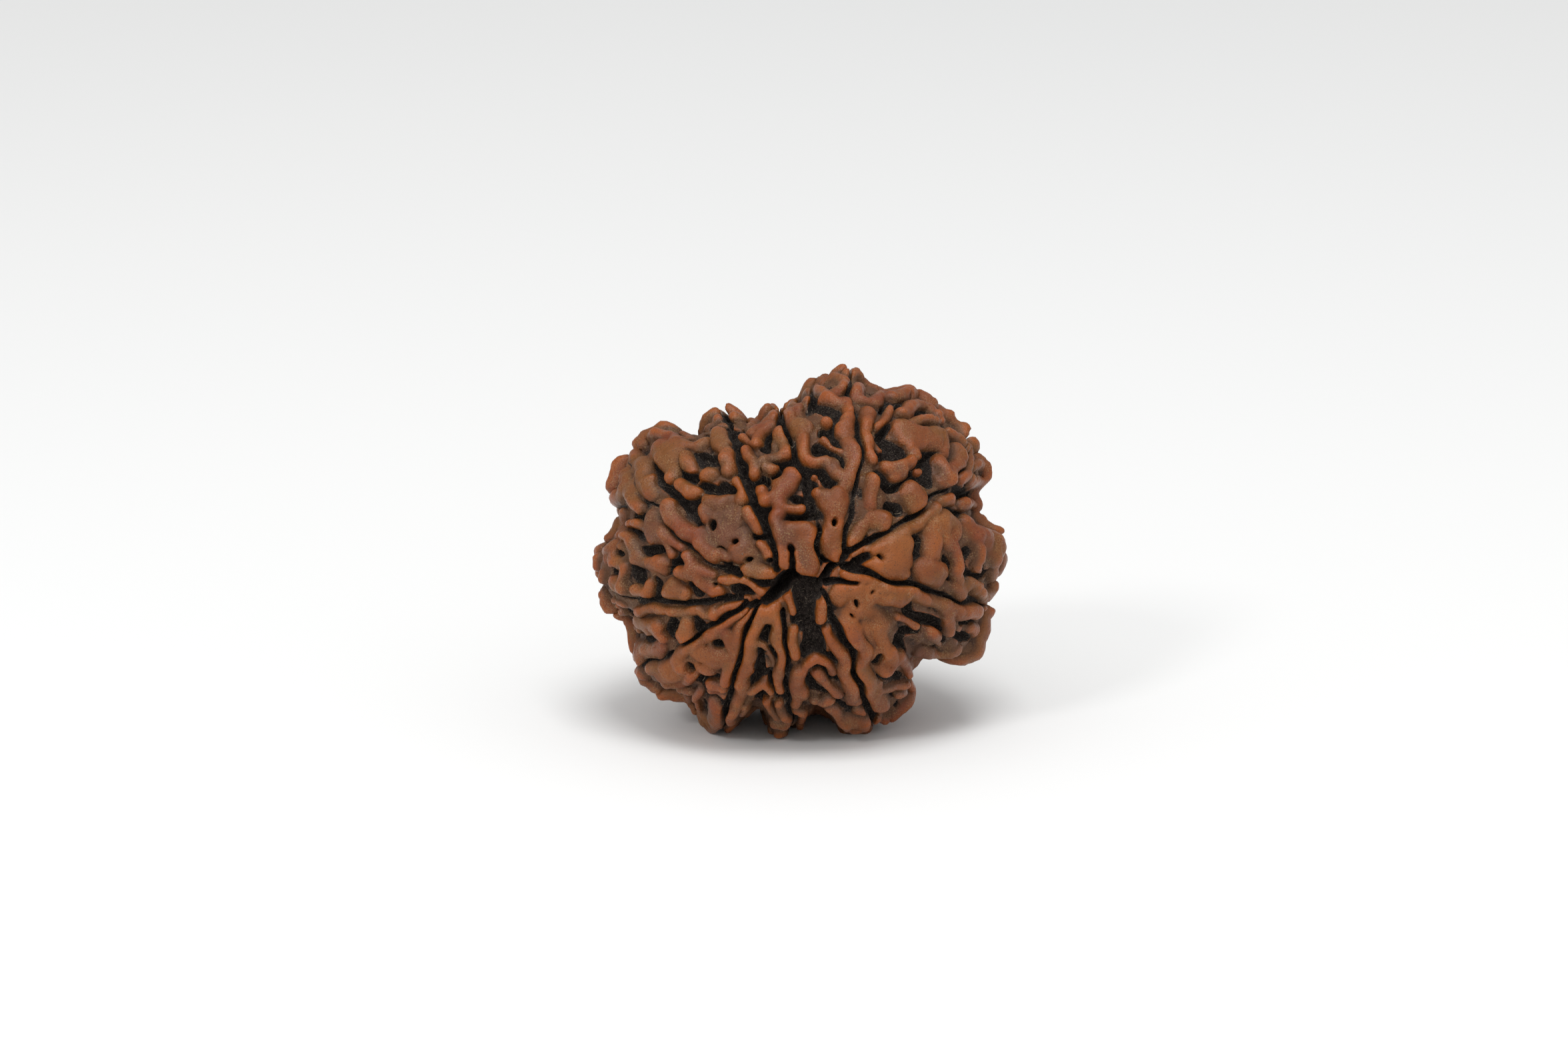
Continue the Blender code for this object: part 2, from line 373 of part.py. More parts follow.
# Broad low swellings of the skin, in the same form
SWELLS = (
    (1.10, 1.00, -5.6, 2.9, -5.2, 2.2, -5.3, 1.4, -4.8, 0.8),
    (1.00, .90, -4.5, 2.9, -4.2, 2.2, -4.4, 1.4),
    (1.00, .80, -3.9, 0.9, -3.6, 0.2, -3.3, -0.6, -3.2, -1.1), (.70, .70, -6.4, 1.1, -5.5, 0.5),
    (1.10, .90, -8.6, 6.6, -7.6, 6.6), (.90, .80, -10.4, 5.8, -10.3, 4.6, -10.0, 3.8),
    (1.10, 1.20, -4.9, -5.3, -5.6, -6.5, -6.9, -7.2, -7.8, -7.4), (.90, .80, -2.6, -4.0, -1.8, -4.0),
    (1.45, 1.10, 3.6, -3.2, 4.4, -4.2, 4.9, -5.5), (1.20, .90, 5.4, -2.6, 6.6, -2.7),
    (1.00, .80, 4.9, -6.2, 5.2, -7.0), (1.30, 1.10, 6.6, 7.4, 8.4, 7.1),
    (1.00, 1.00, 8.8, 1.9, 8.2, 0.8, 8.4, -0.9),
    (1.20, 1.10, 10.4, 1.3, 11.6, 0.9, 12.2, 0.0), (1.20, 1.00, 4.8, -0.4, 6.2, 0.1),
    (1.10, 1.00, -11.6, -0.2, -11.2, 0.9, -11.0, 2.0), (.80, .80, -11.5, -1.9, -11.1, -2.0),
    (1.10, .90, -9.3, 1.8, -8.6, 0.9), (1.00, .90, -9.2, -0.7, -8.5, -0.9),
    (1.00, .90, -7.0, -1.3, -6.0, -1.9),
    (1.00, .80, -9.6, -4.5, -8.7, -5.2), (1.00, .90, -10.0, -6.5, -9.0, -6.2),
    (1.20, 1.00, -0.6, 0.9, 0.1, -0.6),
    (.90, .90, 1.8, 3.0, 2.0, 0.6), (1.10, 1.00, 6.7, 3.7, 7.0, 3.3), (.90, .80, 4.6, 2.1, 5.3, 2.0),
    (.80, .80, 9.4, 5.2, 8.8, 4.6), (.90, .80, -0.3, 8.9, 0.2, 7.6),
)

# Dark hollows between the ridges, sunk through the skin, in the same form, face by face
HOLLOWS = (
    (.14, .18, -11.75, 4.2, -11.5, 4.8), (.26, .22, -7.1, 2.9, -6.75, 2.2),
    (.36, .40, -3.7, 5.9, -3.2, 5.0),
    (.60, .45, -6.4, 6.0, -5.7, 5.9, -5.1, 5.9), (.38, .45, -7.3, 5.0, -6.6, 4.7),
    (.25, .35, -9.2, 5.5, -8.9, 5.0, -8.5, 4.5, -8.1, 3.9), (.17, .20, -9.2, 6.75, -8.95, 6.85),
    (.30, .30, -5.6, 7.9, -5.0, 8.0), (.15, .15, -6.15, 7.35, -6.0, 7.3),
    (.35, .40, -6.1, 4.1, -5.1, 3.75, -4.4, 3.9), (.40, .35, -8.0, 3.8, -7.5, 3.4, -6.9, 3.0, -6.4, 3.1),
    (.35, .30, -6.7, 3.0, -6.7, 2.3, -6.5, 1.9), (.45, .40, -4.9, 4.1, -4.4, 3.8),
    (.28, .40, -3.1, 4.6, -3.1, 3.9, -3.05, 3.2, -3.0, 2.9),
    (.20, .20, -4.6, -1.0, -4.0, -1.3, -3.4, -1.6),
    (.25, .25, -2.9, 1.0, -2.1, 1.1), (.30, .28, -4.9, 0.2, -4.6, -0.4, -4.5, -0.8),
    (.28, .25, -11.6, 2.7, -11.1, 2.5), (.30, .28, -10.5, 2.4, -9.9, 2.3),
    (.42, .38, -9.9, -0.15, -9.2, 0.1, -8.7, 0.35), (.40, .42, -10.4, -0.8, -10.3, -1.4, -10.0, -1.9),
    (.25, .30, -9.0, -1.7, -8.9, -2.2, -9.0, -2.8), (.22, .18, -8.5, -1.2, -8.1, -1.1),
    (.28, .30, -7.9, -0.75, -7.2, -0.75), (.42, .42, -6.8, -2.2, -6.6, -2.5),
    (.30, .30, -2.6, -1.7, -1.9, -1.9), (.25, .20, -3.5, -3.6, -2.9, -3.2),
    (.45, .40, -6.9, -4.2, -6.3, -4.6), (.30, .28, -8.0, -4.3, -8.3, -4.9, -8.0, -5.3),
    (.35, .30, -9.8, -5.25, -9.3, -5.4), (.28, .28, -10.9, -3.9, -10.2, -3.9),
    (.10, .12, -10.45, -5.1, -10.45, -5.8), (.28, .28, -5.3, -7.65, -5.9, -7.9, -6.4, -8.15),
    (.25, .28, -6.1, -8.4, -6.0, -9.0, -5.5, -9.1, -4.9, -9.4), (.33, .33, -8.9, -8.5, -8.5, -8.7),
    (.15, .18, -5.95, -9.6, -5.85, -10.1), (.10, .10, -6.65, -9.2, -6.6, -10.0),
    (.22, .32, -2.2, -4.7, -2.25, -5.4, -2.3, -6.0), (.28, .33, -2.5, -6.0, -2.6, -6.7, -2.4, -7.4),
    (.18, .15, -1.8, -5.9, -1.75, -6.6), (.33, .28, -3.1, -8.1, -2.6, -7.7, -1.8, -7.6),
    (.20, .20, -1.7, -7.9, -1.7, -8.8), (.33, .33, -2.5, -8.95, -2.5, -9.3),
    (.30, .35, -1.5, -9.15, -0.9, -9.3),
    (.85, .85, 0.2, -2.6, 0.3, -4.0), (.65, .80, 0.2, -4.4, 0.9, -4.9, 0.9, -5.7, 0.7, -6.2),
    (.30, .32, 1.8, -6.4, 2.3, -6.7), (.28, .22, 1.0, -7.25, 1.5, -7.3, 1.85, -7.75),
    (.28, .25, 0.5, -7.8, 0.75, -8.45, 1.4, -8.7, 2.1, -8.95), (.22, .22, 2.35, -7.75, 2.45, -7.8),
    (.20, .25, 2.2, -9.4, 2.9, -9.95, 3.4, -10.1),
    (.38, .33, 6.85, -3.2, 6.9, -3.9, 7.4, -4.2, 8.2, -4.35, 8.85, -4.5),
    (.46, .32, 7.3, -4.9, 6.6, -5.1, 6.25, -5.8, 6.35, -6.6), (.25, .20, 8.95, -5.0, 8.9, -5.8),
    (.30, .25, 9.7, -5.3, 10.35, -5.5, 10.75, -5.35), (.22, .18, 10.2, -4.45, 11.1, -4.55),
    (.27, .22, 4.95, -7.8, 5.6, -7.85, 6.35, -7.95), (.16, .14, 5.7, -9.05, 6.1, -9.1),
    (.12, .12, 6.2, -9.6, 6.65, -9.65), (.30, .30, 9.3, 2.6, 10.1, 2.35),
    (.36, .34, 9.9, 3.75, 10.6, 3.6, 11.3, 3.55), (.40, .33, 7.2, 0.75, 7.3, -0.35),
    (.22, .28, 9.0, -0.25, 9.35, -0.7, 9.55, -1.5), (.30, .36, 10.65, 0.1, 10.45, -0.6, 10.5, -1.4),
    (.34, .30, 10.6, -1.65, 11.3, -1.7, 11.9, -1.2), (.16, .20, 11.6, -0.5, 11.65, -1.2),
    (.30, .30, 1.7, -0.5, 2.2, -0.4), (.28, .20, 2.7, -0.3, 3.1, 0.15, 3.6, 0.5, 4.0, 0.85),
    (.38, .38, 3.6, -0.6, 4.2, -0.3), (.20, .20, 4.1, 0.5, 4.7, 0.9),
    (.30, .35, 5.6, 2.9, 6.2, 2.6), (.28, .25, 4.4, 10.1, 4.65, 9.95), (.20, .20, 5.1, 9.3, 5.1, 9.0),
    (.25, .30, 5.6, 7.8, 5.3, 7.4), (.45, .55, 5.3, 7.0, 5.9, 6.5, 6.3, 6.3),
    (.45, .40, 5.3, 6.1, 6.2, 6.1),
    (.25, .20, 4.75, 6.3, 4.9, 6.0), (.18, .18, 6.05, 9.1, 6.35, 9.3),
    (.22, .28, 7.2, 8.6, 7.6, 8.8, 8.2, 8.7),
    (.40, .40, 8.1, 6.3, 8.7, 6.3), (.50, .45, 7.9, 5.9, 7.9, 5.2, 8.0, 4.5),
    (.45, .40, 7.4, 5.7, 7.6, 5.2),
    (.30, .35, 6.1, 4.5, 6.9, 4.7, 7.4, 4.3), (.25, .40, 5.0, 4.9, 5.3, 4.3, 5.9, 4.1),
    (.20, .20, 9.2, 7.5, 9.4, 7.2), (.18, .18, 9.1, 7.95, 9.1, 7.85), (.15, .15, 9.9, 6.6, 10.2, 6.65),
    (.30, .35, 10.5, 4.4, 10.6, 4.0),
    (.28, .35, -4.75, 8.9, -4.7, 8.4), (.30, .30, -4.4, 7.7, -3.7, 7.7),
    (.35, .35, -4.3, 7.6, -4.2, 7.0, -4.05, 6.4),
    (.30, .30, -3.8, 5.8, -3.6, 5.2, -3.2, 4.7), (.45, .40, -3.5, 5.0, -2.9, 4.6, -2.2, 4.5),
    (.33, .28, -1.9, 7.5, -2.1, 6.9, -2.2, 6.5), (.28, .28, -1.2, 8.7, -1.45, 8.1),
    (.45, .55, -1.6, 5.6, -1.0, 5.4, -0.4, 5.6), (.40, .40, -1.3, 4.8, -0.5, 5.2),
    (.30, .35, 0.75, 10.1, 0.85, 9.7, 0.9, 9.3), (.40, .50, 1.2, 9.5, 1.6, 9.0, 2.1, 8.8),
    (.35, .45, 2.2, 8.3, 2.1, 7.6, 1.6, 7.4), (.30, .30, 2.1, 7.4, 2.6, 6.9),
    (.35, .30, 1.1, 6.5, 1.6, 6.3, 2.2, 5.9, 2.5, 5.5),
    (.50, .50, 0.3, 5.2, 1.0, 5.2, 1.6, 4.9, 1.9, 4.5),
    (.35, .35, 0.3, 4.6, 0.8, 4.2), (.25, .25, 3.1, 10.9, 3.15, 10.3),
    (.35, .30, -2.8, 2.6, -2.2, 2.6, -1.75, 2.75), (.28, .35, -2.35, 2.2, -2.4, 1.5, -2.3, 1.2),
    (.25, .35, -0.6, 2.2, 0.1, 2.2, 0.7, 2.3), (.30, .30, 0.55, 2.4, 0.5, 3.2, 0.55, 4.0),
    (.22, .25, -0.3, 3.45, 0.2, 3.3),
)

# Round pits, sunk through ridges and skin alike, in the same form
PITS = (
    (.25, .25, 4.7, 7.35, 4.7, 7.25), (.22, .22, 6.95, 9.75, 6.95, 9.65),
    (.22, .22, 11.1, 4.95, 11.1, 4.85), (.38, .35, 7.25, 0.75, 7.35, -0.2),
    (.42, .35, 3.7, -0.6, 4.2, -0.35), (.18, .18, 4.9, -0.3, 5.0, -0.4),
    (.12, .12, 9.97, 1.05, 9.97, 0.95),
    (.35, .33, 6.9, -3.35, 6.95, -3.8), (.30, .33, 7.2, -4.1, 8.2, -4.3, 8.8, -4.6),
    (.25, .25, 3.45, -3.05, 3.49, -3.07), (.15, .15, 4.35, -2.5, 4.37, -2.52),
    (.16, .16, 3.1, -3.7, 3.12, -3.72), (.34, .32, 4.9, -6.45, 4.8, -6.75),
    (.26, .22, 5.1, -7.85, 6.2, -7.9), (.36, .33, -5.15, -5.72, -5.0, -5.78),
    (.36, .34, -6.7, -7.05, -6.65, -7.25), (.26, .26, -5.5, -7.8, -5.2, -7.7),
    (.28, .28, -8.8, -8.6, -8.6, -8.65), (.22, .20, -11.4, 0.0, -11.25, -0.1),
    (.30, .30, -11.9, -1.2, -11.55, -1.05), (.24, .22, -10.35, 1.4, -10.1, 1.1),
    (.14, .14, -5.35, -2.0, -5.25, -2.05), (.42, .42, -4.05, -2.3, -3.2, -2.35),
    (.25, .25, -2.4, -1.9, -2.0, -1.95), (.38, .38, -5.4, 1.62, -5.37, 1.58),
    (.22, .22, -4.0, 0.77, -3.98, 0.75), (.22, .22, -3.2, -0.54, -3.19, -0.56),
    (.20, .20, -2.05, -0.58, -1.95, -0.62), (.30, .30, -0.55, 0.42, -0.5, 0.36),
    (.20, .24, -0.45, 0.1, -0.38, -0.5),
    (.26, .26, 1.94, 1.88, 1.94, 1.84), (.24, .24, 1.8, 10.42, 1.8, 10.35),
)
# The open parts of the front hole
HOLES = (
    (.42, .68, -2.3, -3.0, -1.75, -2.55, -1.25, -2.15),
    (.68, .58, -1.25, -2.15, -0.8, -1.75, -0.45, -1.5),
    (.30, .22, -0.45, -1.3, -0.38, -0.9, -0.36, -0.6), (.26, .42, 1.35, -1.75, 1.65, -1.45, 1.95, -1.25),
    (.42, .22, 1.95, -1.25, 2.3, -0.95, 2.6, -0.75),
)

# Crust filled ground between the two open parts of the hole, and its arms
HOLE_ARMS = (
    (.66, .62, -0.2, -1.85, 0.5, -1.8, 1.1, -1.95), (.70, .60, -0.3, -2.3, 0.4, -2.5, 0.9, -2.5),
    (.44, .32, 1.8, -1.8, 2.6, -1.75, 3.45, -1.85), (.40, .45, 3.3, -0.75, 3.9, -0.5),
    (.50, .52, -3.85, -2.35, -3.5, -2.3), (.36, .36, -2.3, -1.85, -2.0, -1.95),
)


def clear_scene():
    """Removes every object, so that only the seed is left."""
    for thing in list(bpy.data.objects):
        bpy.data.objects.remove(thing, do_unlink=True)


def unit(vectors):
    """Gives vectors a length of one."""
    return vectors / np.linalg.norm(vectors, axis=-1, keepdims=True)


def layout_axes():
    """Right, up and towards the viewer, as the layout is seen."""
    right = np.array((1.0, 0.0, 0.0))
    up = np.array((0.0, math.sin(LOOK_DOWN), math.cos(LOOK_DOWN)))
    toward = np.array((0.0, -math.cos(LOOK_DOWN), math.sin(LOOK_DOWN)))
    return right, up, toward


def girth(angles, spread):
    """Radius of the floors round the outline, blended over a spread of angle."""
    total = np.zeros_like(angles)
    weight = np.zeros_like(angles)
    for degrees, radius in GIRTH:
        share = np.exp((np.cos(angles - math.radians(degrees)) - 1.0) / spread**2)
        total += share * radius
        weight += share
    return total / weight * MM


def floor_radius(directions):
    """Radius of the core, out to the floors of the hollows, along each direction."""
    right, up, toward = layout_axes()
    across = directions @ right
    above = directions @ up
    along = directions @ toward
    angles = np.arctan2(above, across)
    broad = girth(angles, GIRTH_SPREAD)
    depth = np.where(along > 0.0, FRONT_HALF_DEPTH, BACK_HALF_DEPTH)
    sideways = np.clip(1.0 - along**2, 0.0, 1.0)
    radius = 1.0 / np.sqrt(sideways / broad**2 + along**2 / depth**2)
    at_limb = np.exp(-(along / LIMB_SHARE) ** 2)
    return radius + at_limb * (girth(angles, LIMB_SPREAD) - broad)


def to_seed(x, y):
    """Directions of points seen at x and y, and how far those beyond the core stand out more."""
    right, up, toward = layout_axes()
    x = np.atleast_1d(np.asarray(x, float)) * MM
    y = np.atleast_1d(np.asarray(y, float)) * MM
    reach = np.hypot(x, y)
    level = np.full_like(reach, FRONT_HALF_DEPTH)
    for _ in range(12):
        depth = np.sqrt(np.maximum(level**2 - reach**2, 0.0))
        flat = np.outer(x, right) + np.outer(y, up)
        directions = unit(flat + np.outer(depth, toward))
        level = 0.5 * (level + floor_radius(directions) + LAYOUT_LEVEL)
    return directions, np.clip(reach - level, 0.0, MOST_LIFT)


def places_on(directions):
    """Points on the level at which the layout is drawn."""
    return directions * (floor_radius(directions) + LAYOUT_LEVEL)[:, None]


def flowing(values, counts):
    """Catmull-Rom curve through rows of values, with a count of steps for each stretch."""
    padded = np.vstack([2 * values[0] - values[1], values, 2 * values[-1] - values[-2]])
    rows = []
    for index, count in enumerate(counts):
        before, start, end, after = padded[index:index + 4]
        for share in np.arange(count) / count:
            rows.append(0.5 * (
                2 * start + (end - before) * share
                + (2 * before - 5 * start + 4 * end - after) * share**2
                + (3 * start - before - 3 * end + after) * share**3
            ))
    rows.append(values[-1])
    return np.array(rows)


def drawn_line(row):
    """A laid-out row as a smooth line on the seed: directions, half-widths and extra height."""
    numbers = np.array(row[2:], float).reshape(-1, 2)
    gaps = np.linalg.norm(np.diff(numbers, axis=0), axis=1) * MM
    counts = np.maximum(1, np.ceil(gaps / LINE_STEP)).astype(int)
    smooth = flowing(numbers, counts)
    directions, lifts = to_seed(smooth[:, 0], smooth[:, 1])
    half_widths = np.linspace(row[0], row[1], len(smooth)) * MM
    return directions, half_widths, lifts


def ripples(points, size, count, rng):
    """Smooth noise of about one unit, from waves of about the given size in random directions."""
    total = np.zeros(len(points))
    for _ in range(count):
        heading = unit(rng.normal(size=3))
        pace = 2.0 * math.pi / (size * rng.uniform(0.7, 1.5))
        total += np.sin(points @ (heading * pace) + rng.uniform(0.0, 2.0 * math.pi))
    return total / math.sqrt(count / 2.0)


def smooth_step(values, low, high):
    """Smooth rise from 0 at low to 1 at high."""
    share = np.clip((values - low) / (high - low), 0.0, 1.0)
    return share * share * (3.0 - 2.0 * share)


def between(start, end, share):
    """Directions part of the way round from one direction to another."""
    angle = math.acos(float(np.clip(start @ end, -1.0, 1.0)))
    share = np.atleast_1d(share)[:, None]
    return (np.sin((1.0 - share) * angle) * start + np.sin(share * angle) * end) / math.sin(angle)


def far_cleft(start, pole, rng):
    """The hidden run of a cleft, from the outline to the back hole, a little wavy."""
    share = np.linspace(0.0, BACK_HOLE_REACH, 48)
    line = between(start, pole, share)
    side = unit(np.cross(line, pole))
    wave = np.sin(2.0 * math.pi * (1.4 * share + rng.uniform())) * np.sin(math.pi * share)
    return unit(line + side * (wave * 0.4 * MM / FACE_RADIUS)[:, None])


def line_of(directions, start_width, end_width):
    """A ridge along directions, with no extra height."""
    half_widths = np.linspace(start_width, end_width, len(directions)) * MM
    return np.asarray(directions), half_widths, np.zeros(len(directions))


def far_lips(line, rng):
    """Lips in pieces along both sides of a hidden cleft."""
    lips = []
    step = np.linalg.norm(line[1] - line[0]) * FACE_RADIUS
    side = unit(np.cross(np.gradient(line, axis=0), line))
    for sign in (-1.0, 1.0):
        first = int(rng.integers(0, 4))
        while first < len(line) - 4:
            count = int(rng.uniform(1.6, 4.4) * MM / step) + 2
            piece = slice(first, min(first + count, len(line)))
            offset = sign * (LIP_OFFSET + rng.uniform(-0.04, 0.10) * MM) / FACE_RADIUS
            width = rng.uniform(0.32, 0.44)
            lips.append(line_of(unit(line[piece] + side[piece] * offset), width, width * 0.9))
            first += count + int(0.6 * MM / step)
    return lips


def far_face(left, right, rng):
    """Knobs and the ridges that join them, between two hidden clefts."""
    ridges = []
    rows = []
    run = math.acos(float(np.clip(left[0] @ left[-1], -1.0, 1.0))) * FACE_RADIUS
    for position in np.arange(0.5, run / ROW_STEP):
        index = int(position * ROW_STEP / run * (len(left) - 1))
        width = np.linalg.norm(left[index] - right[index]) * FACE_RADIUS
        inner = width - 2.0 * (LIP_OFFSET + 0.75 * MM)
        count = int(max(0.0, inner + 0.6 * MM) / KNOB_STEP) + (1 if inner > -0.6 * MM else 0)
        row = []
        for number in range(count):
            share = 0.5 + (number + 0.5 - count / 2.0) * min(KNOB_STEP, inner + KNOB_STEP) / width
            share += rng.uniform(-0.3, 0.3) * MM / width
            shift = int(np.clip(index + rng.integers(-1, 2), 0, len(left) - 1))
            row.append(unit((1.0 - share) * left[shift] + share * right[shift]))
        rows.append(row)
    for number, row in enumerate(rows):
        for place, knob in enumerate(row):
            width = rng.uniform(0.48, 0.82)
            aside = unit(knob + rng.normal(size=3) * 0.02)
            ridges.append(line_of(np.array([knob, aside]), width, width * 0.9))
            if place + 1 < len(row) and rng.uniform() < 0.55:
                joined = between(knob, row[place + 1], np.linspace(0.0, 1.0, 6))
                ridges.append(line_of(joined, rng.uniform(0.3, 0.5), rng.uniform(0.3, 0.42)))
            following = rows[number + 1] if number + 1 < len(rows) else []
            if following and rng.uniform() < 0.6:
                nearest = max(following, key=lambda other: float(other @ knob))
                joined = between(knob, nearest, np.linspace(0.0, 1.0, 6))
                ridges.append(line_of(joined, rng.uniform(0.3, 0.52), rng.uniform(0.28, 0.42)))
    return ridges


def far_side(front_clefts):
    """Clefts, ridges and the hole that the layout doesn't show."""
    rng = np.random.default_rng(SEED)
    pole = unit(np.array(BACK_POLE))
    clefts = [far_cleft(line[-1], pole, rng) for line in front_clefts]
    ridges = []
    for index, cleft in enumerate(clefts):
        ridges += far_lips(cleft, rng)
        ridges += far_face(cleft, clefts[(index + 1) % len(clefts)], rng)
    spread = unit(pole + rng.normal(size=(5, 3)) * 0.05)
    return clefts, ridges, line_of(spread, 0.8, 0.5)


def feet():
    """The three low knobs that the seed rests on, tall enough to be cut off flat."""
    knobs = []
    for x, y, half_width in FEET:
        low = np.array((x * MM, y * MM, 0.0)) - CORE_MIDDLE
        reach = np.linalg.norm(low)
        directions = np.repeat(unit(low)[None], 2, axis=0)
        crest = float(floor_radius(directions)[0]) + SKIN + RISE
        lift = reach * (1.0 + FOOT_CUT / CORE_MIDDLE[2]) - crest
        knobs.append((directions, np.full(2, half_width * MM), np.full(2, lift)))
    return knobs


def near_line(points, headings, line):
    """Which points lie near a line, their distance from it, and its width and lift at their foot."""
    directions, half_widths, lifts = line
    path = places_on(directions)
    middle = unit(directions.mean(axis=0))
    spread = np.arccos(np.clip(directions @ middle, -1.0, 1.0)).max()
    limit = spread + (half_widths.max() + 0.9 * MM) / np.linalg.norm(path, axis=1).min()
    found = np.nonzero(headings @ middle.astype(np.float32) > math.cos(min(limit, math.pi)))[0]
    local = points[found]
    least = np.full(len(found), np.inf)
    width = np.zeros(len(found))
    lift = np.zeros(len(found))
    for index in range(len(path) - 1):
        span = path[index + 1] - path[index]
        share = np.clip((local - path[index]) @ span / max(float(span @ span), 1e-18), 0.0, 1.0)
        away = np.linalg.norm(local - path[index] - share[:, None] * span, axis=1)
        closer = away < least
        least = np.where(closer, away, least)
        here = half_widths[index] + share * (half_widths[index + 1] - half_widths[index])
        width = np.where(closer, here, width)
        raised = lifts[index] + share * (lifts[index + 1] - lifts[index])
        lift = np.where(closer, raised, lift)
    return found, least, width, lift


def ridge_height(away, width, lift):
    """Height of a ridge over the floors: a rounded crown, then a steep wall."""
    top = SKIN + RISE * (1.0 - np.exp(-width / FULL_RISE_WIDTH)) + lift
    power = 2.0 + 2.0 * np.clip(width / MM - 0.4, 0.0, 0.6)
    crown = CROWN_DROP * np.clip(away / width, 0.0, 1.0) ** power
    return top - crown - WALL_SLOPE * np.maximum(away - width, 0.0)


def sink(height, points, headings, line, cut, top):
    """Height after a cut: its floor, then a wall that reaches the top where the mouth ends."""
    added, floor, slope = cut
    found, away, width, _ = near_line(points, headings, line)
    wall = np.maximum(floor, top + slope * (away - width - added)) / CUT_BLEND
    height[found] = -CUT_BLEND * np.logaddexp(-height[found] / CUT_BLEND, -wall)


def swelling(points, headings):
    """How much of its full rise the broadly swollen skin has at each point."""
    share = np.zeros(len(points))
    for row in SWELLS:
        found, away, width, _ = near_line(points, headings, drawn_line(row))
        share[found] = np.maximum(share[found], 1.0 - smooth_step(away / width, BROAD_FADE, 1.0))
    return share


def ground(points, headings, hollows, rng):
    """Height of the skin between the ridges, with its hollows: laid out in front, by chance behind."""
    skin = SKIN + SKIN_SWELL * ripples(points, SKIN_SWELL_SIZE, RIPPLE_WAVES, rng)
    skin += BROAD_RISE * swelling(points, headings)
    gaps = smooth_step(ripples(points, GAP_SIZE, GAP_WAVES, rng), *GAP_EDGES)
    behind = smooth_step(-(headings @ layout_axes()[2]), 0.0, BEHIND_FULL)
    height = skin - (skin - HOLLOW[1]) * behind * (1.0 - gaps)
    for line in hollows:
        sink(height, points, headings, line, HOLLOW, SKIN)
    return height


def relief(points, headings, rng):
    """Height over the floors: ridges joined smoothly with the ground, then clefts and pits sunk in."""
    hollows, ridges, cuts = lines()
    raised = np.exp(ground(points, headings, hollows, rng) / RIDGE_BLEND)
    for line in ridges:
        found, away, width, lift = near_line(points, headings, line)
        height = ridge_height(away, width, lift)
        raised[found] += np.exp(np.clip(height / RIDGE_BLEND, -30.0, 60.0))
    height = RIDGE_BLEND * np.log(raised)
    for line, cut in cuts:
        sink(height, points, headings, line, cut, SKIN + RISE)
    return height


def lines():
    """All hollows, all ridges, and all cuts with their floors and slopes."""
    front_clefts = [drawn_line(row) for row in CLEFTS]
    far_clefts, far_ridges, back_hole = far_side([line[0] for line in front_clefts])
    ridges = [drawn_line(row) for row in RIDGES] + far_ridges + feet()
    cuts = [(line, GROOVE) for line in front_clefts]
    cuts += [(line_of(line, *FAR_GROOVE_WIDTHS), GROOVE) for line in far_clefts]
    cuts += [(drawn_line(row), PIT) for row in PITS]
    cuts += [(drawn_line(row), PLUG) for row in HOLE_ARMS]
    cuts += [(drawn_line(row), HOLE) for row in HOLES] + [(back_hole, HOLE)]
    return [drawn_line(row) for row in HOLLOWS], ridges, cuts


def kept_clear(directions, radius):
    """Holds everything but the feet a little above the surface that the seed rests on."""
    down = -directions[:, 2]
    limit = (CORE_MIDDLE[2] - CLEARANCE) / np.maximum(down, 1e-6)
    low = directions * radius[:, None]
    for x, y, half_width in FEET:
        away = np.hypot(low[:, 0] - x * MM, low[:, 1] - y * MM)
        limit = np.where((away < (half_width + 0.35) * MM) & (down > 0.0), np.inf, limit)
    return np.where(down > 0.0, np.minimum(radius, limit), radius)


def seed_places(directions):
    """Where each direction from the middle meets the surface of the seed."""
    rng = np.random.default_rng(SEED)
    level = floor_radius(directions) + LAYOUT_LEVEL
    points = directions * level[:, None]
    wobble = [ripples(points, WOBBLE_SIZE, RIPPLE_WAVES, rng) for _ in range(3)]
    points = points + WOBBLE * np.stack(wobble, axis=1)
    radius = level - LAYOUT_LEVEL + relief(points, directions.astype(np.float32), rng)
    return directions * kept_clear(directions, radius)[:, None] + np.array(CORE_MIDDLE)


def sphere_directions(mesh):
    """Unit directions of a sphere's vertices."""
    flat = np.empty(len(mesh.vertices) * 3, np.float32)
    mesh.vertices.foreach_get("co", flat)
    return unit(flat.reshape(-1, 3).astype(float))


def wood_material():
    """The dull red-brown of the dry stone."""
    material = bpy.data.materials.new("dry woody stone")
    material.use_nodes = True
    shader = material.node_tree.nodes["Principled BSDF"]
    shader.inputs["Base Color"].default_value = (0.30, 0.11, 0.05, 1.0)
    shader.inputs["Roughness"].default_value = 0.6
    shader.inputs["Metallic"].default_value = 0.0
    return material


def new_collection(name):
    """A collection under the scene's own."""
    collection = bpy.data.collections.new(name)
    bpy.context.scene.collection.children.link(collection)
    return collection


def move_to(thing, collection):
    """Puts an object in one collection only."""
    for holder in list(thing.users_collection):
        holder.objects.unlink(thing)
    collection.objects.link(thing)


def floor_cutter(collection):
    """A block whose top is the surface that the seed rests on."""
    bpy.ops.mesh.primitive_cube_add(size=40.0 * MM, location=(0.0, 0.0, -20.0 * MM))
    cutter = bpy.context.active_object
    cutter.name = "resting_surface_cutter"
    cutter.hide_render = True
    cutter.display_type = "WIRE"
    move_to(cutter, collection)
    return cutter


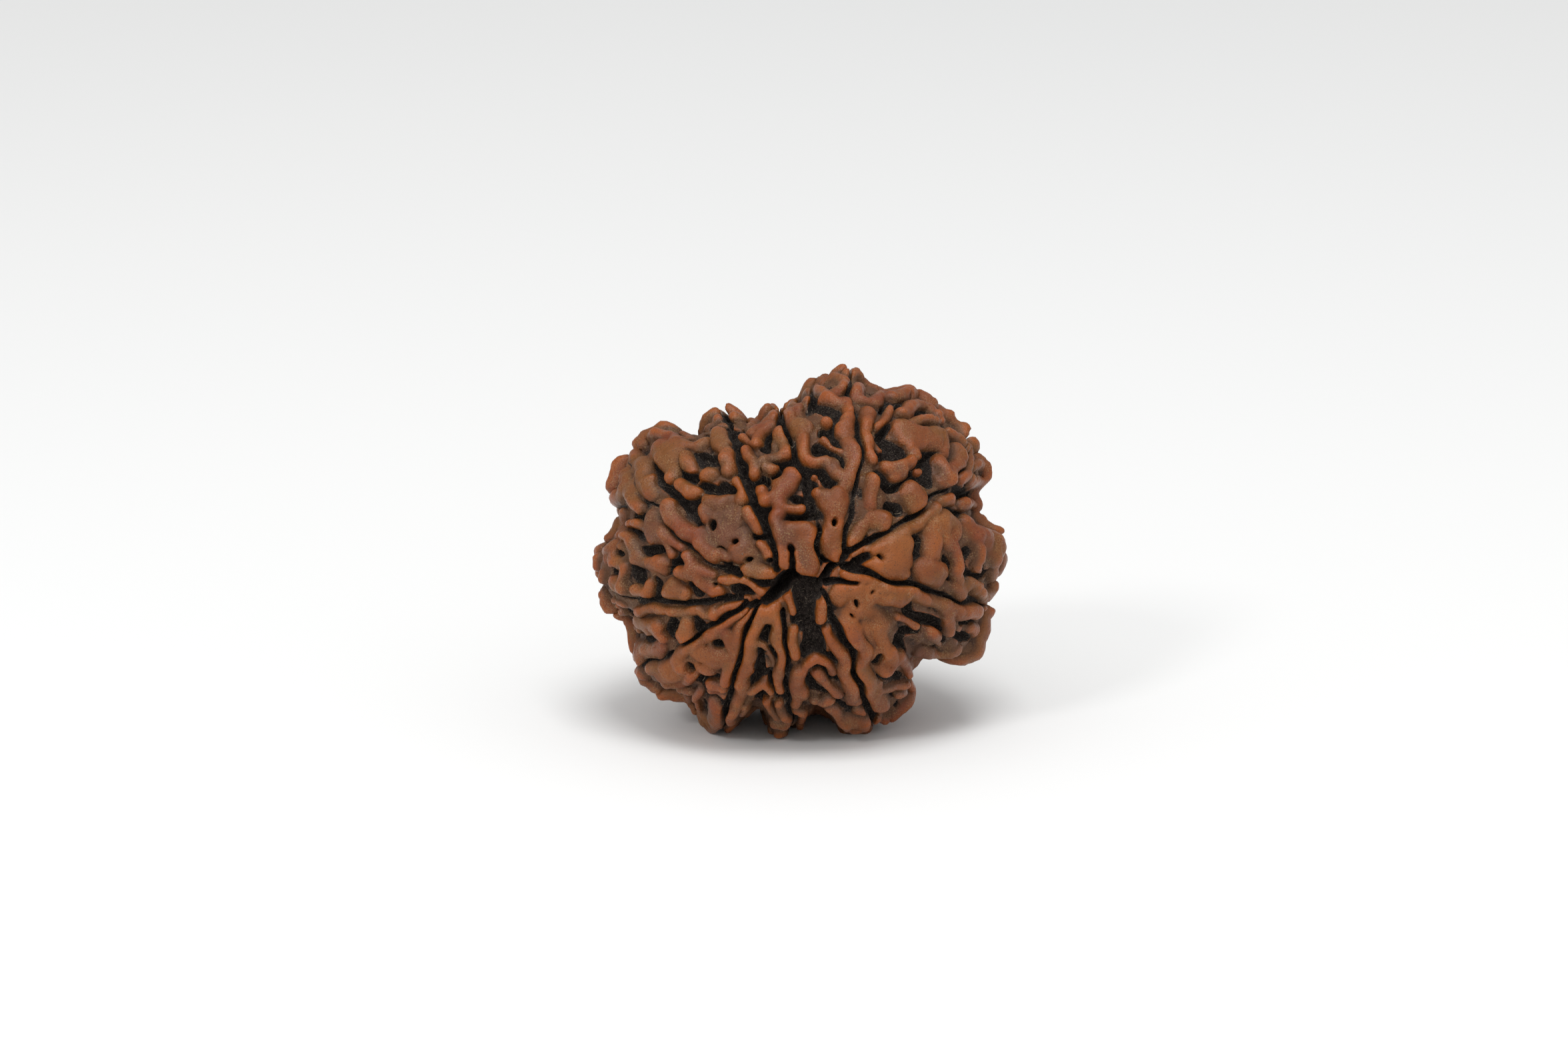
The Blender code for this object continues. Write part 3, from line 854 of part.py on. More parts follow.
def build_seed(collection, cutter):
    """The seed: a sphere drawn out to its relief, thinned to facets and cut flat under its feet."""
    bpy.ops.mesh.primitive_ico_sphere_add(subdivisions=SPHERE_LEVEL, radius=1.0)
    seed = bpy.context.active_object
    seed.name = "rudraksha_seed"
    places = seed_places(sphere_directions(seed.data))
    seed.data.vertices.foreach_set("co", places.astype(np.float32).ravel())
    seed.data.update()
    thin = seed.modifiers.new("facets", "DECIMATE")
    thin.ratio = MOST_TRIANGLES / len(seed.data.polygons)
    flat = seed.modifiers.new("flat feet", "BOOLEAN")
    flat.operation = "DIFFERENCE"
    flat.object = cutter
    seed.data.materials.append(wood_material())
    seed.data.shade_smooth()
    move_to(seed, collection)
    return seed


def main():
    """Builds the seed in a collection of its own."""
    clear_scene()
    cutter = floor_cutter(new_collection("cutters"))
    build_seed(new_collection("rudraksha seed"), cutter)


main()
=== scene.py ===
"""A dry rudraksha seed on a pale table: the woody stone with its crust, pulp fibres and dust."""

import logging
import math
from collections.abc import Iterable
from dataclasses import dataclass
from enum import Enum

import bpy
import numpy as np
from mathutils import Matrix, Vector


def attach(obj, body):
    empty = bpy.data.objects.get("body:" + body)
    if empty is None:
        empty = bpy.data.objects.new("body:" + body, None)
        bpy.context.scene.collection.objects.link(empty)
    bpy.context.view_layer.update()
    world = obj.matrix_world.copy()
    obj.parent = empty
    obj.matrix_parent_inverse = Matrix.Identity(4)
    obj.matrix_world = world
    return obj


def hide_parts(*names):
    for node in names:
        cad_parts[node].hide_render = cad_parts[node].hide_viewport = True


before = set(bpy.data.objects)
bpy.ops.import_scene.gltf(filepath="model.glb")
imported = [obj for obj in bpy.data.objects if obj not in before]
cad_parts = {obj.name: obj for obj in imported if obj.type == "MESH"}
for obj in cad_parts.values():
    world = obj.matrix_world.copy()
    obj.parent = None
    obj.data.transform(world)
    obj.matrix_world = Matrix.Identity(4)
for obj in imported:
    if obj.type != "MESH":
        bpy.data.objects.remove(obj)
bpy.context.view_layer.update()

LOG = logging.getLogger("seed")
MM = 0.001
# Divisors are kept above these
LEAST_SQUARE = 1e-18
LEAST_FALL = 1e-6
Span = tuple[float, float]
Rows = tuple[tuple[float, ...], ...]
Line = tuple[np.ndarray, np.ndarray, np.ndarray]
Sockets = dict[str, bpy.types.NodeSocket]

# Three low knobs that the seed rests on, as x, y and half-width in millimetres
FEET: Rows = ((-4.4, -1, 1), (3.7, -2.8, .95), (.7, 3.1, 1.1))

# Floor radius round the outline: angle in degrees from the right, then millimetres
GIRTH: Rows = (
    (0, 12), (13, 10.3), (28, 11.8), (42, 11.7), (55, 11.4), (65, 10.5), (77, 10.9),
    (86, 9.8), (94, 7.6), (102, 8.6), (110, 6.9), (116, 9.3), (123, 9.6), (130, 8.6), (139, 11.1),
    (148, 11.1), (157, 11.4), (164, 11.6), (171, 10), (180, 11.9), (190, 12), (197, 11.3), (204, 10.2),
    (210, 11.2), (220, 12), (231, 10.7), (238, 11.1), (245, 11.8), (255, 8.9), (263, 11.3),
    (269, 10.3), (276, 8), (284, 11.3), (291, 11.2), (301, 10.9), (308, 10.6), (316, 8.2),
    (321, 9.4), (327, 12), (338, 11.5), (348, 11.2),
)

# Clefts from the front hole to the outline, in order round the seed: half-width at the first and at the last
# point in millimetres, then the points as x and y
CLEFTS: Rows = (
    (.3, .12, 3, -.75, 4.3, -1.3, 5.5, -1.75, 6.7, -2, 7.6, -2.25, 8.5, -2.5, 9.4, -2.85, 10.3, -3.15,
     11, -3.35, 11.7, -3.3),
    (.28, .1, 2.8, 0, 3.6, .4, 4.6, .85, 5.5, 1.2, 6.2, 1.7, 6.9, 2.25, 7.4, 2.6, 7.8, 3, 8.2, 3.5,
     8.7, 3.85, 9.2, 4.1, 9.7, 4.5, 10.1, 5.2, 10.25, 5.8, 10.2, 6.5, 10.5, 7.2),
    (.22, .2, 2.8, -.1, 2.74, .5, 2.8, 1, 3, 1.7, 3.2, 2.3, 3.3, 3.1, 3.4, 3.8, 3.55, 4.4, 3.7, 5.2,
     3.75, 6, 3.75, 7, 3.7, 7.8, 3.45, 8.6, 3.15, 9.6, 3.05, 10.2, 3.15, 10.8, 3.1, 11.3),
    (.2, .28, 1.4, -.8, 1.15, -.1, 1, .5, 1.05, 1.2, .85, 1.9, .6, 2.6, .5, 3.3, .3, 3.9, .1, 4.6,
     -.2, 5.4, -.4, 6.2, -.6, 7, -.9, 7.8, -1.2, 8.6, -1.4, 9.4),
    (.3, .28, -1.4, -1.1, -1.65, -.2, -2, .5, -2.25, 1.2, -2.45, 1.9, -2.8, 2.8, -3.2, 3.9, -3.6, 5,
     -4, 6.2, -4.3, 7.1, -4.65, 8.3, -4.75, 9.2),
    (.26, .03, -3.45, -1.5, -4.7, -.95, -5.46, -.64, -6.3, -.1, -7, .35, -7.6, .95, -8.15, 1.6,
     -8.5, 2.3, -8.8, 2.85, -9.25, 3.1, -9.7, 3.65, -10.1, 4.3, -10.4, 4.9, -10.5, 5.6, -10.4, 6.4),
    (.24, .12, -3.9, -2.8, -4.9, -2.9, -5.8, -3.15, -6.95, -3.25, -8.15, -3.22, -9.3, -3.15, -10.2, -3.1,
     -10.8, -2.85, -11.7, -2.6, -12.6, -2.2),
    (.25, .16, -3.6, -3.1, -4.6, -4, -5.4, -4.5, -6.2, -5, -7, -5.55, -7.7, -6.05, -8.4, -6.5,
     -9.2, -6.9, -10, -7.1, -10.6, -7.2),
    (.22, .26, -2.7, -3.2, -3, -3.8, -3.3, -4.5, -3.5, -5.3, -3.7, -6.05, -3.9, -6.8, -4.05, -7.55,
     -4.15, -8.2, -4.4, -8.9, -4.6, -9.7, -4.75, -11),
    (.22, .24, -1.15, -3.6, -1, -4.7, -.95, -5.8, -.9, -7.1, -.88, -8.2, -.8, -8.9, -.66, -9.6,
     -.6, -10.4, -.55, -11.2),
    (.24, .28, 1.45, -2.4, 1.6, -3.1, 1.95, -4, 2.45, -4.7, 2.85, -5.45, 3.15, -6.05, 3.3, -6.85,
     3.5, -7.55, 3.7, -8.25, 4, -8.95, 4.25, -9.6, 4.6, -10.6, 4.9, -11.2),
)

# Lips, knobs and ridges: half-width at the first and at the last point, then the points as x and y.
# Face between the clefts at upper right and top
RIDGES_TOP_RIGHT: Rows = (
    (.32, .32, 2.9, 11.2, 3.4, 11.1, 3.9, 10.8, 4.3, 10.5, 5, 10.4),
    (.4, .4, 3.7, 10.2, 3.6, 9.6, 4.2, 9.4, 4.8, 9.5, 5.1, 9.9),
    (.45, .4, 4.3, 8.7, 4.3, 8.2, 4.2, 7.5, 4.15, 6.9, 4.1, 6.3, 4.5, 5.7),
    (.25, .25, 5.4, 8.9, 5.4, 8.2, 5, 7.8),
    (.55, .5, 5.8, 9.7, 6.8, 9.9, 7.8, 9.8, 8.3, 9.5),
    (.4, .4, 6.2, 8.6, 6.8, 9, 7.4, 9.3, 8.2, 9.1, 8.6, 8.6),
    (.3, .3, 7, 8.2, 7.7, 8.35, 8.5, 8.2),
    (.95, .9, 6.7, 7.4, 7.6, 7.25, 8.4, 7.05),
    (.45, .4, 8.9, 7.3, 9.1, 6.7, 9, 6.2),
    (.5, .4, 7, 6.6, 7.3, 6.1, 7, 5.6),
    (.45, .45, 5.4, 5.3, 6.2, 5.4, 7, 5.5),
    (.6, .6, 5.9, 5, 6.1, 5.1),
    (.2, .2, 7.4, 4.8, 7.6, 4.8),
    (.55, .5, 8.8, 5.7, 9, 5.1, 9.2, 4.7),
    (.5, .35, 9.2, 4.7, 9.8, 5.4, 9.95, 6, 9.8, 6.5),
    (.2, .2, 8.9, 8.3, 8.9, 8.1),
    (.4, .35, 8.9, 8.8, 9.5, 8.6, 9.7, 8, 10.1, 7.5),
    (.35, .3, 9.3, 7.4, 9.7, 7.2, 10, 6.9),
    (.72, .62, 6.8, 3.7, 7.1, 3.2),
    (.3, .3, 7.5, 3.6, 7.5, 3.4),
    (.4, .4, 4.45, 4.4, 4.3, 3.7, 4.2, 3),
    (.65, .6, 4.5, 2, 5.2, 2.1, 5.1, 1.8),
    (.42, .3, 3.9, 1.6, 3.5, 1, 3.2, .6),
)
# Face on the right
RIDGES_RIGHT: Rows = (
    (.35, .35, 10.3, 7.6, 10.7, 7.2, 11, 6.6),
    (.35, .3, 10.3, 6.6, 10.7, 6.5, 10.7, 6, 10.5, 5.4, 10.4, 4.9, 10.1, 4.4),
    (.35, .35, 10.9, 5.4, 11.4, 5.4, 11.8, 5, 11.7, 4.4, 11.2, 4.3, 10.75, 4.7),
    (.35, .35, 11.4, 6.1, 11.8, 5.7, 12, 5.1, 11.9, 4.5),
    (.42, .4, 8.9, 3.05, 9.4, 3.3),
    (.36, .36, 10.1, 3, 10.8, 3.05, 11.05, 2.8),
    (.3, .3, 11.5, 4.1, 11.7, 3.5, 11.4, 3.1),
    (.42, .4, 8.5, 2.6, 7.8, 2.15, 7, 1.6, 6.3, 1, 5.6, .5, 4.9, .15, 4.3, -.1),
    (.15, .15, 3.2, -.15, 3.9, .15, 4.5, .45),
    (.9, .7, 8.3, 1.3, 8.9, 1.4, 9.2, .8),
    (.6, .5, 8.3, .5, 8.1, -.1),
    (.45, .38, 9.1, 2.1, 9.6, 1.6, 9.6, .8, 9.7, .1, 9.95, -.5, 9.9, -1.2, 10, -1.7),
    (.6, .65, 10.3, 1.7, 11, 1.2, 11.7, 1.2, 12.2, .9, 12.5, .3, 12.3, -.3),
    (.4, .4, 11.1, 2.2, 11.8, 1.9, 12.5, 1.4),
    (.38, .35, 11.2, .3, 11.2, -.4, 11.1, -1.1),
    (.3, .3, 12.3, -.9, 12.1, -1.5),
    (.7, .7, 5.6, -.3, 6.2, .1, 6.5, .3),
    (.55, .4, 5, -.8, 5.9, -.7, 6.5, -.6, 6.8, -.3),
    (.4, .4, 5.6, -1.1, 6.4, -1.2),
    (.28, .28, 4.3, -.8, 4.8, -.9),
    (.78, .76, 7.75, -1.2, 8.65, -1.35),
    (.4, .4, 9.8, -2.1, 10.2, -2.5),
    (.3, .3, 10.6, -2.1, 11.1, -2.15),
    (.35, .35, 10.9, -2.4, 11.4, -2.8, 11.9, -2.5, 12.1, -2),
)
# Face at lower right
RIDGES_LOWER_RIGHT: Rows = (
    (.26, .46, 3.05, -1.25, 3.5, -1.5, 4.3, -1.85, 5.5, -2.25, 6.7, -2.6),
    (.4, .42, 6.7, -2.5, 7.9, -3, 9.3, -3.45, 10.5, -3.6, 11.1, -3.9),
    (.6, .62, 2.35, -2.75, 3, -2.4, 3.8, -2.4, 4.7, -2.6),
    (.55, .45, 5.2, -2.9, 6, -2.9, 6.5, -2.8),
    (.5, .5, 2.95, -3.9, 3.15, -4.7),
    (.4, .42, 4.7, -4.8, 5.1, -5.6, 5.5, -6.1),
    (.42, .48, 2.75, -4.3, 3.4, -5.2, 3.95, -6),
    (.5, .44, 3.95, -6.3, 4.05, -7.4, 4.4, -8.6, 4.9, -9.6),
    (.5, .45, 5.5, -6.3, 5.9, -6.8, 5.5, -7.15, 5.2, -7.2),
    (.42, .4, 6.2, -6.5, 6.6, -7, 6.7, -7.5),
    (.3, .28, 6, -4, 6.6, -4.15, 7.1, -4.6),
    (.25, .25, 5, -8.5, 5.8, -8.5, 6.6, -8.35),
    (.45, .4, 4.7, -8.4, 5, -9.2, 5.2, -9.6),
    (.36, .36, 8.2, -4.95, 8.65, -5.3),
    (.12, .1, 8.55, -5.6, 8.7, -6),
    (.55, .4, 9.4, -3.9, 9.45, -4.6, 9.35, -5),
    (.45, .42, 10, -3.8, 10.8, -3.9),
    (.38, .35, 10.7, -4.9, 11, -4.9),
    (.5, .55, 11.8, -3.9, 11.7, -5.1, 11.1, -6.2, 10.3, -6.8, 9.5, -6.9),
    (.55, .5, 7.6, -6.15, 8.4, -6.4, 9.2, -6.4, 9.9, -6.2),
    (.4, .4, 11.5, -3.3, 11.8, -3.7),
    (.35, .35, 6.9, -8.1, 7, -8.9, 6.9, -9.5, 6.3, -10.1, 5.5, -10.5, 4.9, -10.6),
    (.3, .25, 6, -8.95, 6.6, -8.85),
)
# Sunken face at the bottom
RIDGES_BOTTOM: Rows = (
    (.22, .2, -1.1, -2.65, -.7, -3.1, -.45, -3.55),
    (.28, .3, 1.15, -2.5, 1.2, -3.3, 1.45, -4.1),
    (.33, .36, -.3, -4.85, -.5, -5.5, -.36, -6.35),
    (.45, .34, -.1, -7.4, -.2, -8.4, -.15, -9.6),
    (.22, .2, -.15, -9.6, -.2, -10),
    (.35, .35, .1, -8.6, .2, -9),
    (.26, .28, .1, -7.3, .4, -6.9, .95, -6.65, 1.53, -6.95, 2, -7.45),
    (.3, .4, 1.9, -5, 2.4, -6.1, 2.75, -7),
    (.42, .5, 2.75, -7.2, 3.1, -8.3, 3.4, -9.5),
    (.3, .3, .92, -7.5, 1.6, -8.05, 2.5, -8.8),
    (.3, .3, .8, -9.1, 1.5, -9.3, 2, -9.2),
    (.35, .35, 2, -9.8, 2.4, -10.4, 3, -11),
    (.5, .45, 3, -10.6, 3.8, -10.7, 4.2, -10.9, 3.5, -11.1),
    (.35, .3, 3.7, -10.1, 4, -10.1),
    (.4, .3, .1, -10, .1, -10.5, 0, -10.9),
)
# Face at lower left of the bottom, two ridges that part like a letter A
RIDGES_BOTTOM_LEFT: Rows = (
    (.45, .45, -2.4, -3.4, -1.7, -3.5),
    (.55, .45, -2.35, -3.8, -1.75, -3.9),
    (.34, .32, -1.4, -4.1, -1.4, -5.3, -1.3, -6.2, -1.3, -7.1, -1.28, -7.8, -1.25, -8.7),
    (.36, .45, -2.6, -4.3, -2.9, -5.2, -3.15, -6.2, -3.35, -7.2, -3.5, -8.1),
    (.45, .35, -3.5, -8.1, -3.6, -8.8, -3.9, -9.5, -4.15, -10.1),
    (.2, .2, -2.1, -5.8, -1.95, -6.5, -1.7, -7.1),
    (.15, .15, -2.7, -5.6, -2.1, -5.7),
    (.25, .2, -3.1, -8.6, -2.6, -8.3, -2.2, -8.25, -1.9, -8.7),
    (.25, .25, -2.2, -9.2, -1.8, -9.8, -1.5, -10.4),
    (.28, .25, -1.4, -9.5, -1.15, -10, -1.05, -10.6),
    (.4, .35, -1.6, -10.8, -1.1, -10.9),
    (.4, .35, -3.5, -9.6, -3.4, -10.1),
    (.35, .3, -4.25, -10.3, -4.2, -10.6),
)
# Face at lower left
RIDGES_LOWER_LEFT: Rows = (
    (.18, .36, -3.2, -3.7, -3.65, -4.3, -3.95, -5.2, -4.2, -6.1),
    (.36, .38, -4.2, -6.1, -4.5, -7.1, -4.65, -7.9),
    (.2, .36, -3.6, -3.6, -4.6, -4.4, -5.5, -5.1, -6.35, -5.65),
    (.36, .35, -6.35, -5.65, -7.25, -6.25, -7.85, -6.8, -8.45, -7.15, -9.3, -7.5),
    (.48, .45, -4.6, -5.1, -4.35, -5.8),
    (.7, .55, -6.2, -6.15, -5.4, -6.5, -4.9, -6.6),
    (.42, .42, -6.1, -7.1, -5.7, -7.2),
    (.6, .6, -8.7, -7.8, -7.9, -7.6, -7.4, -7.2),
    (.5, .35, -8.3, -8.2, -7.6, -8.2, -6.9, -7.9, -6.5, -7.6),
    (.4, .4, -5.5, -8.4, -4.9, -8.4),
    (.28, .28, -5.7, -8.7, -4.8, -9.05),
    (.5, .45, -10, -7.7, -9.9, -8.1, -9.4, -8.7, -8.7, -9, -7.9, -8.9),
    (.38, .35, -7.4, -8.6, -6.9, -8.8),
    (.3, .28, -7.2, -9, -6.9, -9.7, -6.7, -10.1),
    (.25, .25, -6.4, -8.6, -6.4, -9.4, -6.3, -10.1),
    (.48, .5, -5.4, -9.5, -5.15, -10.1, -5.3, -10.6),
    (.4, .35, -6, -10.4, -5.6, -10.8),
)
# Face on the left, below the level cleft
RIDGES_LEFT_LOW: Rows = (
    (.28, .26, -9.9, -3.75, -8.7, -3.68, -7.5, -3.75, -6.4, -3.65, -5.9, -3.9, -5.2, -3.8),
    (.26, .2, -5.2, -3.8, -4.5, -3.35, -4, -3.15),
    (.22, .2, -11.6, -3.2, -11.1, -3.4, -10.6, -3.6),
    (.38, .35, -12.4, -2.8, -12.2, -3.3, -11.9, -3.7),
    (.25, .25, -11.3, -3.5, -11, -3.95),
    (.22, .22, -11.5, -4.15, -10.9, -4.5, -10.1, -4.85),
    (.42, .4, -10.1, -4.25, -9.4, -4.45, -8.8, -4.5),
    (.4, .35, -9, -4.6, -8.6, -5.3),
    (.2, .2, -10.3, -5.1, -10.3, -5.6, -9.9, -6),
    (.25, .25, -11.1, -4.8, -11.1, -5.4, -10.9, -6.1),
    (.25, .25, -10.7, -4.9, -10.75, -5.4, -10.5, -6.1),
    (.45, .4, -10.1, -6.4, -9.3, -6.15, -8.6, -5.85),
    (.44, .6, -6.95, -4.3, -7.3, -5.25),
    (.35, .3, -10.7, -6.3, -10.4, -6.7),
)
# Face on the left, above the level cleft
RIDGES_LEFT: Rows = (
    (.4, .35, -11.55, 5.5, -12, 4.8, -12.1, 4.2),
    (.42, .5, -11.2, 5.7, -11.1, 5.2),
    (.58, .55, -11.05, 4.8, -11, 4.2, -10.65, 3.6),
    (.5, .48, -10.4, 3.3, -10.05, 2.95),
    (.5, .5, -11.75, 3.35, -11.2, 3.8),
    (.38, .36, -11, 2.3, -11.1, 1.6, -10.75, .9, -10.4, .3, -10.1, -.3),
    (.3, .3, -10.55, 1.8, -9.9, 1.75, -9.5, 1.5),
    (.42, .5, -9.35, 2.3, -9.4, 1.6, -9.15, 1.1),
    (.55, .28, -9.1, 1.25, -8.3, .75, -7.45, .2),
    (.5, .5, -11.7, 1.6, -12, 1),
    (.5, .45, -11.6, .5, -12.2, .05),
    (.35, .33, -12.2, -.5, -11.5, -.65, -10.95, -.95, -11.05, -1.6),
    (.3, .42, -10.3, -.55, -9.5, -.75, -8.6, -.8),
    (.45, .35, -8.7, -.7, -8.5, -1.1),
    (.28, .28, -8.3, .35, -8, -.3),
    (.58, .5, -11.6, -1.85, -11.1, -2.05),
    (.28, .28, -12.4, -1.4, -12.4, -1.9),
    (.35, .3, -12.7, -.4, -12.75, -1.1),
    (.36, .44, -9.45, -1.85, -9.55, -2.3),
    (.42, .4, -10.2, -2.45, -9.5, -2.55),
    (.4, .4, -7.95, -1.95, -8, -2.4),
    (.5, .44, -8.2, -2.5, -7.4, -2.65),
    (.35, .33, -7.1, -.35, -6.6, -.85, -6, -1.1, -5.4, -1.3),
    (.33, .33, -7.5, -1.25, -6.6, -1.2),
    (.38, .38, -6.3, -1.4, -6.15, -2.05, -5.7, -2.45, -5, -2.35),
    (.28, .25, -4.8, -1.6, -4.3, -1.75, -3.5, -1.75, -2.8, -2.05, -2.45, -2.4),
    (.2, .2, -4.3, -2.85, -3.4, -2.95),
)
# Face at upper left
RIDGES_UPPER_LEFT: Rows = (
    (.38, .35, -10.2, 6.9, -9.8, 7.5, -9.2, 7.85, -8.5, 8, -7.9, 7.8),
    (.3, .3, -7.4, 7.45, -7, 7.1),
    (.38, .42, -9.75, 6.75, -9.6, 7.15, -9, 7.4, -8.2, 7.3, -7.6, 6.95),
    (1, .95, -8.3, 6.3, -7.9, 6.2),
    (.6, .55, -9, 6.2, -8.6, 6),
    (.92, .42, -8.25, 5.9, -8.1, 5.2, -7.95, 4.6),
    (.5, .38, -7.2, 5.9, -6.8, 5.15),
    (.4, .38, -7.3, 6.6, -6.5, 6.6, -5.8, 6.8),
    (.35, .35, -10.2, 6.4, -10.1, 6),
    (.5, .52, -9.85, 5.5, -9.8, 4.9),
    (.58, .55, -9.5, 4.4, -9.3, 3.9),
    (.4, .42, -7.35, 4.1, -6.9, 3.85, -6.4, 3.6),
    (.48, .45, -8.2, 2.85, -7.85, 2.1, -7.2, 1.4, -6.5, .75, -5.8, .15, -5.3, -.15),
    (.35, .35, -6.1, 7.6, -5.95, 8.4, -5.35, 8.9),
    (.3, .3, -5.8, 7.8, -5.25, 8.4),
    (.55, .5, -5.2, 7.4, -5, 6.8),
    (.32, .46, -4.95, 6.5, -4.65, 6.1),
    (.48, .45, -4.6, 5.8, -4.45, 5.1),
    (.45, .45, -5.75, 4.95, -5.6, 4.9),
    (.34, .38, -3.85, 4.4, -3.5, 3.8, -3.75, 3.15),
    (.42, .48, -3.25, 2.45, -3, 2, -2.75, 1.5),
    (.42, .4, -5.5, 3.1, -5, 2.95),
    (.4, .36, -6, 2.5, -5.9, 2.1),
    (.66, .6, -3.75, .2, -3.6, -.3),
    (.3, .28, -2.75, .5, -2.4, .1, -2.15, -.3),
    (.33, .28, -3.2, -1.15, -2.2, -1.25, -1.7, -1.35),
    (.38, .35, -5, 0, -4.4, -.35),
)
# Face at the top, left
RIDGES_TOP_LEFT: Rows = (
    (.35, .35, -4.4, 9.1, -4.1, 9.2, -3.7, 8.7, -3.4, 8.3),
    (.5, .5, -4, 8.4, -3.4, 8.2),
    (.3, .3, -2.2, 9.3, -2.6, 8.7, -2.9, 8.1, -3.1, 7.7),
    (.4, .4, -1.7, 8.6, -2, 8.2, -2.6, 7.7, -3, 7.4),
    (.3, .18, -3.7, 7.15, -3.3, 6.9, -2.7, 6.6),
    (.4, .4, -2, 7.9, -2.5, 7.3, -2.6, 6.8),
    (.45, .4, -1.2, 7.6, -1.1, 7, -.9, 6.3),
    (.35, .35, -1.4, 6, -2, 5.9, -2.4, 5.7),
    (.4, .4, -3.4, 6.4, -3.2, 5.9, -2.9, 5.3, -2.8, 4.9),
    (.38, .38, -2, 5.3, -1.6, 5.1),
    (.4, .4, -2.4, 3.85, -2.15, 3.2),
    (.5, .5, -.5, 4.8, -.9, 4.1, -1.5, 3.6, -2, 3.3),
    (.5, .4, -1.3, 4.1, -1.3, 3.4, -1.3, 2.6, -1.55, 1.9, -1.4, 1.1),
    (.28, .28, -1, 2.8, -.05, 2.8),
    (.42, .38, -1.3, 1.1, -1.2, .2, -1, -.6),
    (.75, .6, -.6, 1, -.35, .1, -.25, -.6),
    (.62, .5, .15, .9, .4, 0, .45, -.8),
    (.42, .45, -.8, 1.55, 0, 1.5, .5, 1.15, .55, .5, .65, -.2, .8, -.9),
)
# Face at the top, right of the middle
RIDGES_TOP: Rows = (
    (.3, .3, -1.5, 9.6, -.5, 9.2, 0, 8.8),
    (.42, .42, -.6, 8.6, -.2, 8, -.05, 7.5),
    (.38, .36, .1, 7.1, .3, 6, .6, 5.7, 1.4, 5.8, 2, 5.3, 2.6, 4.7),
    (.38, .38, 1.55, 8, 1.7, 8),
    (.45, .42, 1.5, 9.6, 2.3, 9.45, 2.8, 9.3, 3, 8.8),
    (.45, .5, 2.9, 8.4, 2.9, 7.4),
    (.42, .42, 3, 6.9, 3.1, 6.4, 3.1, 5.6, 3, 4.8, 2.85, 4),
    (.18, .18, 1.6, 6.8, 2.5, 6.2),
    (.2, .2, .75, 4.7, .85, 4.7),
    (.35, .35, .2, 10, .45, 10.5, .9, 10.75, 1.5, 10.7),
    (.2, .2, .3, 10.1, .4, 9.4),
    (.25, .25, .95, 10.4, 1.1, 10, 1.4, 9.8),
    (.4, .4, 1.7, 10.9, 2.2, 11, 2.6, 10.8, 2.6, 10.2, 2.3, 9.9),
    (.3, .3, 2.2, 11.4, 2.7, 11.45),
    (.35, .4, 1, 3.7, 1.3, 3.4),
    (.7, .65, 1.6, 3.2, 1.9, 2.5, 2, 1.9),
    (.58, .58, 2.4, 3.5, 2.3, 2.7),
    (.74, .55, 1.9, 1.3, 1.95, .6, 2.05, 0),
    (.3, .2, 2.2, -.3, 2.4, -.6),
)
FACES: tuple[Rows, ...] = (
    RIDGES_TOP_RIGHT, RIDGES_RIGHT, RIDGES_LOWER_RIGHT, RIDGES_BOTTOM, RIDGES_BOTTOM_LEFT,
    RIDGES_LOWER_LEFT, RIDGES_LEFT_LOW, RIDGES_LEFT, RIDGES_UPPER_LEFT, RIDGES_TOP_LEFT, RIDGES_TOP,
)

# Broad low swellings of the skin, in the same form
SWELLS: Rows = (
    (1.1, 1, -5.6, 2.9, -5.2, 2.2, -5.3, 1.4, -4.8, .8),
    (1, .9, -4.5, 2.9, -4.2, 2.2, -4.4, 1.4),
    (1, .8, -3.9, .9, -3.6, .2, -3.3, -.6, -3.2, -1.1), (.7, .7, -6.4, 1.1, -5.5, .5),
    (1.1, .9, -8.6, 6.6, -7.6, 6.6), (.9, .8, -10.4, 5.8, -10.3, 4.6, -10, 3.8),
    (1.1, 1.2, -4.9, -5.3, -5.6, -6.5, -6.9, -7.2, -7.8, -7.4), (.9, .8, -2.6, -4, -1.8, -4),
    (1.45, 1.1, 3.6, -3.2, 4.4, -4.2, 4.9, -5.5), (1.2, .9, 5.4, -2.6, 6.6, -2.7),
    (1, .8, 4.9, -6.2, 5.2, -7), (1.3, 1.1, 6.6, 7.4, 8.4, 7.1),
    (1, 1, 8.8, 1.9, 8.2, .8, 8.4, -.9),
    (1.2, 1.1, 10.4, 1.3, 11.6, .9, 12.2, 0), (1.2, 1, 4.8, -.4, 6.2, .1),
    (1.1, 1, -11.6, -.2, -11.2, .9, -11, 2), (.8, .8, -11.5, -1.9, -11.1, -2),
    (1.1, .9, -9.3, 1.8, -8.6, .9), (1, .9, -9.2, -.7, -8.5, -.9),
    (1, .9, -7, -1.3, -6, -1.9),
    (1, .8, -9.6, -4.5, -8.7, -5.2), (1, .9, -10, -6.5, -9, -6.2),
    (1.2, 1, -.6, .9, .1, -.6),
    (.9, .9, 1.8, 3, 2, .6), (1.1, 1, 6.7, 3.7, 7, 3.3), (.9, .8, 4.6, 2.1, 5.3, 2),
    (.8, .8, 9.4, 5.2, 8.8, 4.6), (.9, .8, -.3, 8.9, .2, 7.6),
)

